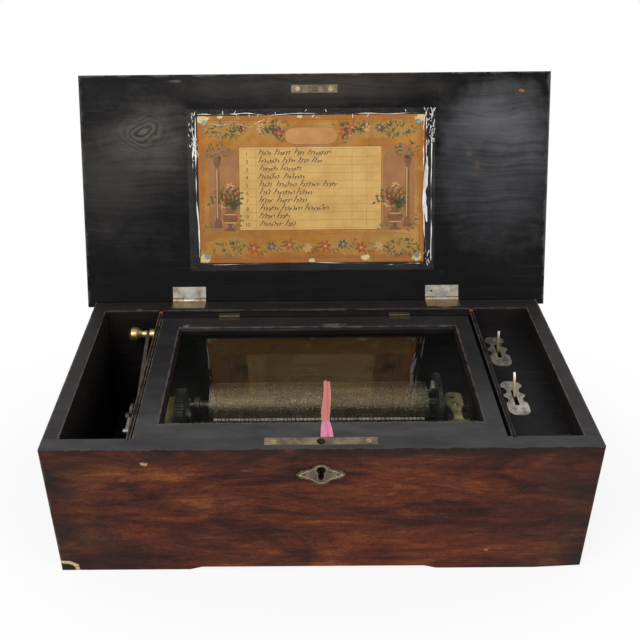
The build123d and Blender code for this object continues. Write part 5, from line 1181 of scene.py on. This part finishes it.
# ---- engraving on the control plates ----
def plate_engraving():
    """Engraved lines on the two lever plates: scrolls whose radius grows with the angle, at the ends and shoulders,
    and a line round each slot."""
    low, high = node_box("control_plates")
    middle = (low[0] + high[0]) / 2
    top = high[2] + 0.02
    strokes = []
    curl = np.linspace(0, 3.2 * np.pi, 60)
    lean = np.linspace(0, 1, len(curl))
    for slot_middle in PLATE_MIDDLES:
        for end in (-1, 1):
            for side in (-1, 1):
                for along, radius in ((17.5, 2.6), (22.5, 1.7)):
                    reach = radius * (0.15 + 0.85 * curl / curl[-1])
                    px = middle + side * (4.6 + reach * np.cos(curl))
                    py = slot_middle + end * (along + reach * np.sin(curl))
                    strokes.append((px, py, 0.45))
                bow = middle + side * (4.2 + 2.8 * np.sin(lean * np.pi))
                strokes.append((bow, slot_middle + end * 14 * lean, 0.4))
    grids = []
    for px, py, wide in strokes:
        flat = np.stack(stroke_sides(np.stack([px, py], axis=1), wide), axis=1)
        grids.append(np.concatenate([flat, np.full(flat.shape[:2] + (1,), top)], axis=2))
    piece = grid_piece("plate_engraving", grids, "case", FINISH["dark_steel"], smooth=False)


PLATE_MIDDLES = (-26.0, 56.0)
plate_engraving()


# ---- the jewel's setting on the governor cock ----
def cock_setting():
    """A turned steel ring with a small dome in it, its profile spun round the arbor's line."""
    top = node_box("governor_cock")[1][2]
    profile = np.array([(3.4, 0.0), (3.4, 0.7), (3.0, 0.95), (2.5, 0.85), (2.2, 0.45), (1.9, 0.5), (1.2, 0.95),
                        (0.05, 1.15)])
    turn = np.linspace(0, 2 * np.pi, 28, endpoint=False)
    x = JEWEL[0] + profile[:, :1] * np.cos(turn)
    y = JEWEL[1] + profile[:, :1] * np.sin(turn)
    z = np.broadcast_to(top + profile[:, 1:], x.shape)
    grid = np.stack([x, y, z], axis=2)
    piece = grid_piece("cock_setting", [grid], "case", FINISH["nickel"], around=True, caps=True)


JEWEL = (155.0, 28.5)
cock_setting()


# ---- raised work on the escutcheon ----
def escutcheon_relief():
    """Raised lines on the plate: a rim round the keyhole, an outline that follows the plate's rounded middle and
    pointed wings, and a scroll on each wing, each a round wire along its path."""
    low, high = node_box("escutcheon")
    front = low[1] - 0.05
    middle = (low[2] + high[2]) / 2
    turn = np.linspace(0, 2 * np.pi, 90)
    wires = []
    head = np.linspace(-np.pi / 2 + 0.68, 1.5 * np.pi - 0.68, 60)
    foot = middle - 9.2
    arch = np.stack([5.4 * np.cos(head), KEYHOLE_Z + 5.4 * np.sin(head)], axis=1)
    rim = np.concatenate([[(4.0, foot), (3.4, foot + 3)], arch,
                          [(-3.4, foot + 3), (-4.0, foot), (0.0, foot - 0.3), (3.9, foot)]])
    wires.append(tube(np.stack([rim[:, 0], np.full(len(rim), front), rim[:, 1]], axis=1), 0.3, 6))
    bulge = 8.4 + 12.2 * np.abs(np.cos(turn)) ** 5
    tall = np.where(np.abs(np.cos(turn)) > 0.8, 0.55, 1.0)
    tall = np.convolve(np.pad(tall, 6, "wrap"), np.ones(13) / 13, "valid")
    level = np.full(len(turn), front)
    outline = np.stack([bulge * np.cos(turn), level, middle + 10.6 * np.sin(turn) * tall], axis=1)
    wires.append(tube(outline, 0.38, 6))
    curl = np.linspace(0, 3.4 * np.pi, 90)
    for side in (-1, 1):
        for end in (-1, 1):
            radius = 0.5 + 1.9 * curl / curl[-1]
            path = np.stack([side * (13.2 + radius * np.cos(curl)), level,
                             middle + end * (2.6 + radius * np.sin(curl))], axis=1)
            wires.append(tube(path, 0.28, 6))
    piece = grid_piece("escutcheon_relief", wires, "case", FINISH["raised_edge"], around=True, caps=True)


KEYHOLE_Z = 132.8
escutcheon_relief()


# ---- the pull ribbon ----
def pull_ribbon():
    """A ribbon laid back over the frame and onto the pane: its centre line is a smoothed path, it is drawn together
    where it leaves the frame, with lengthwise folds that follow a sine across it, and its end is free."""
    free_end = node_box("ribbon_pull")[1][1]
    frame_low, frame_high = node_box("glass_lid_frame")
    pane_top = node_box("glass_pane")[1][2]
    top = frame_high[2]
    knots = np.array([(5.9, frame_low[1] + 0.6, top + 0.4), (5.8, -98, top + 0.4), (5.4, -88.4, top + 0.4),
                      (5.2, -82, top - 1.6), (5.4, -75, pane_top + 2.6), (6.0, -66, pane_top + 3.4),
                      (6.8, -56, pane_top + 3.2), (8.2, -44, pane_top + 1.2), (8.8, -30, pane_top + 1.0),
                      (8.6, free_end, pane_top + 1.3)])
    at = np.linspace(0, len(knots) - 1, 140)
    centre = np.stack([np.interp(at, np.arange(len(knots)), knots[:, axis]) for axis in range(3)], axis=1)
    kernel = np.hanning(19)
    kernel /= kernel.sum()
    padded_line = np.vstack([np.repeat(centre[:1], 9, 0), centre, np.repeat(centre[-1:], 9, 0)])
    centre = np.stack([np.convolve(padded_line[:, axis], kernel, "valid") for axis in range(3)], axis=1)
    share = np.linspace(0, 1, len(centre))
    twist = 0.35 * np.sin(share * 5.0 + 0.4)
    width = np.interp(share, (0, 0.12, 0.28, 0.42, 0.56, 0.8, 1), (12.0, 10.8, 7.4, 7.6, 8.6, 7.4, 6.2))
    fold = np.interp(centre[:, 1], (-92, -84, -66, -40, free_end), (0.22, 1.3, 1.3, 0.9, 0.6))
    twist *= np.interp(centre[:, 1], (-92, -80), (0.0, 1.0))
    run = np.gradient(centre, axis=0)
    run /= np.linalg.norm(run, axis=1, keepdims=True)
    across = np.cross(run, [0, 0, 1.0])
    across /= np.linalg.norm(across, axis=1, keepdims=True)
    up = np.cross(across, run)
    side = np.cos(twist)[:, None] * across + np.sin(twist)[:, None] * up
    v = np.linspace(-0.5, 0.5, RIBBON_THREADS)
    ridges = fold[:, None] * np.sin(3 * np.pi * v[None, :] + 1.1 + 1.6 * share[:, None])
    pleats = ridges[:, :, None] * np.cross(side, run)[:, None, :]
    grid = centre[:, None, :] + side[:, None, :] * (width[:, None] * v[None, :])[:, :, None] + pleats
    grid[..., 2] = np.maximum(grid[..., 2], np.where(grid[..., 1] < -87, top + 0.2, pane_top + 0.35))
    grid[..., 2] = np.minimum(grid[..., 2], top + 0.65)
    piece = grid_piece("pull_ribbon", [grid], "glass_lid", FINISH["ribbon"])
    flat = piece.data.uv_layers.new(name="along")
    columns = np.tile(np.linspace(0, 1, RIBBON_THREADS), len(centre))
    rows = np.repeat(share, RIBBON_THREADS)
    corner = np.zeros(len(piece.data.loops), np.int32)
    piece.data.loops.foreach_get("vertex_index", corner)
    flat.data.foreach_set("uv", np.stack([columns[corner], rows[corner]], axis=1).ravel().astype(np.float32))
    cloth = piece.modifiers.new("cloth", "SOLIDIFY")
    cloth.thickness = 0.35 * MM
    cloth.offset = 0.0
    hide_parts("ribbon_pull")


RIBBON_THREADS = 25
pull_ribbon()


# ---- camera, light and ground ----
PICTURE = 640
SENSOR = 36.0


def put_camera():
    """The photograph's viewpoint: place, aim, lens and a small shift of the frame."""
    yaw, pitch, roll = np.radians((-0.33, 28.75, -0.64))
    camera = bpy.data.cameras.new("camera")
    holder = placed_object("camera", camera)
    right = np.array([np.cos(yaw), -np.sin(yaw), 0])
    ahead = np.array([np.sin(yaw) * np.cos(pitch), np.cos(yaw) * np.cos(pitch), -np.sin(pitch)])
    up = np.cross(right, ahead)
    turned_right = np.cos(roll) * right + np.sin(roll) * up
    turned_up = -np.sin(roll) * right + np.cos(roll) * up
    matrix = Matrix([[turned_right[i], turned_up[i], -ahead[i], 0] for i in range(3)] + [[0, 0, 0, 1]])
    matrix.translation = Vector((-0.01798, -0.69935, 0.67859))
    holder.matrix_world = matrix
    camera.sensor_width = SENSOR
    camera.lens = 823.3 / PICTURE * SENSOR
    camera.shift_x = 24.2 / PICTURE
    camera.shift_y = -68.35 / PICTURE
    camera.clip_end = 50.0
    bpy.context.scene.camera = holder


def soft_lamp(name, place, aim, size, watts):
    lamp = bpy.data.lights.new(name, "AREA")
    lamp.shape = "RECTANGLE"
    lamp.size, lamp.size_y = size
    lamp.energy = watts
    holder = placed_object(name, lamp)
    holder.location = place
    holder.rotation_euler = (Vector(aim) - Vector(place)).to_track_quat("-Z", "Y").to_euler()


def seen_directly(tree):
    """One for what the camera sees, straight or through glass or in a reflection."""
    rays = put(tree, "ShaderNodeLightPath").outputs
    return maths("MAXIMUM", rays["Is Camera Ray"], maths("MAXIMUM", rays["Is Transmission Ray"],
                                                         rays["Is Glossy Ray"]))


def light_scene():
    """Two soft lamps in a white surrounding that looks white but lights the object at less than half strength."""
    soft_lamp("key", (-0.9, -1.3, 1.9), (0, 0, 0.1), (1.4, 1.0), 26.0)
    soft_lamp("fill", (1.5, -1.0, 1.3), (0, 0, 0.15), (1.2, 1.2), 10.0)
    world = bpy.data.worlds.new("studio")
    bpy.context.scene.world = world
    world.use_nodes = True
    strength = remap(seen_directly(world.node_tree), 0.0, 1.0, 0.46, 1.0)
    fill(world.node_tree.nodes["Background"], {"Color": (1, 1, 1, 1), "Strength": strength})


def lay_floor():
    """A wide white floor: it takes the object's soft shadow, and goes to plain white further out."""
    reach = 6.0
    corners = [(-reach, -reach, 0), (reach, -reach, 0), (reach, reach, 0), (-reach, reach, 0)]
    mesh = bpy.data.meshes.new("floor")
    mesh.from_pydata(corners, [], [(0, 1, 2, 3)])
    floor = placed_object("floor", mesh)
    material, principled, place = new_material("white_floor")
    tree = place.id_data
    fill(principled, {"Base Color": (0.93, 0.93, 0.93, 1), "Roughness": 0.9, "Specular IOR Level": 0.0})
    glow = put(tree, "ShaderNodeEmission", {"Color": (1, 1, 1, 1), "Strength": 1.0})
    away = length_of(stretched(place, (0.9, 1.5, 1.0)))
    share = times(remap(away, 0.25, 0.5, 0.82, 1.0), seen_directly(tree))
    mixed = put(tree, "ShaderNodeMixShader", {0: share, 1: principled.outputs[0], 2: glow.outputs[0]})
    fill(tree.nodes["Material Output"], {"Surface": mixed.outputs[0]})
    mesh.materials.append(material)


put_camera()
light_scene()
lay_floor()
bpy.context.scene.view_settings.view_transform = "Standard"
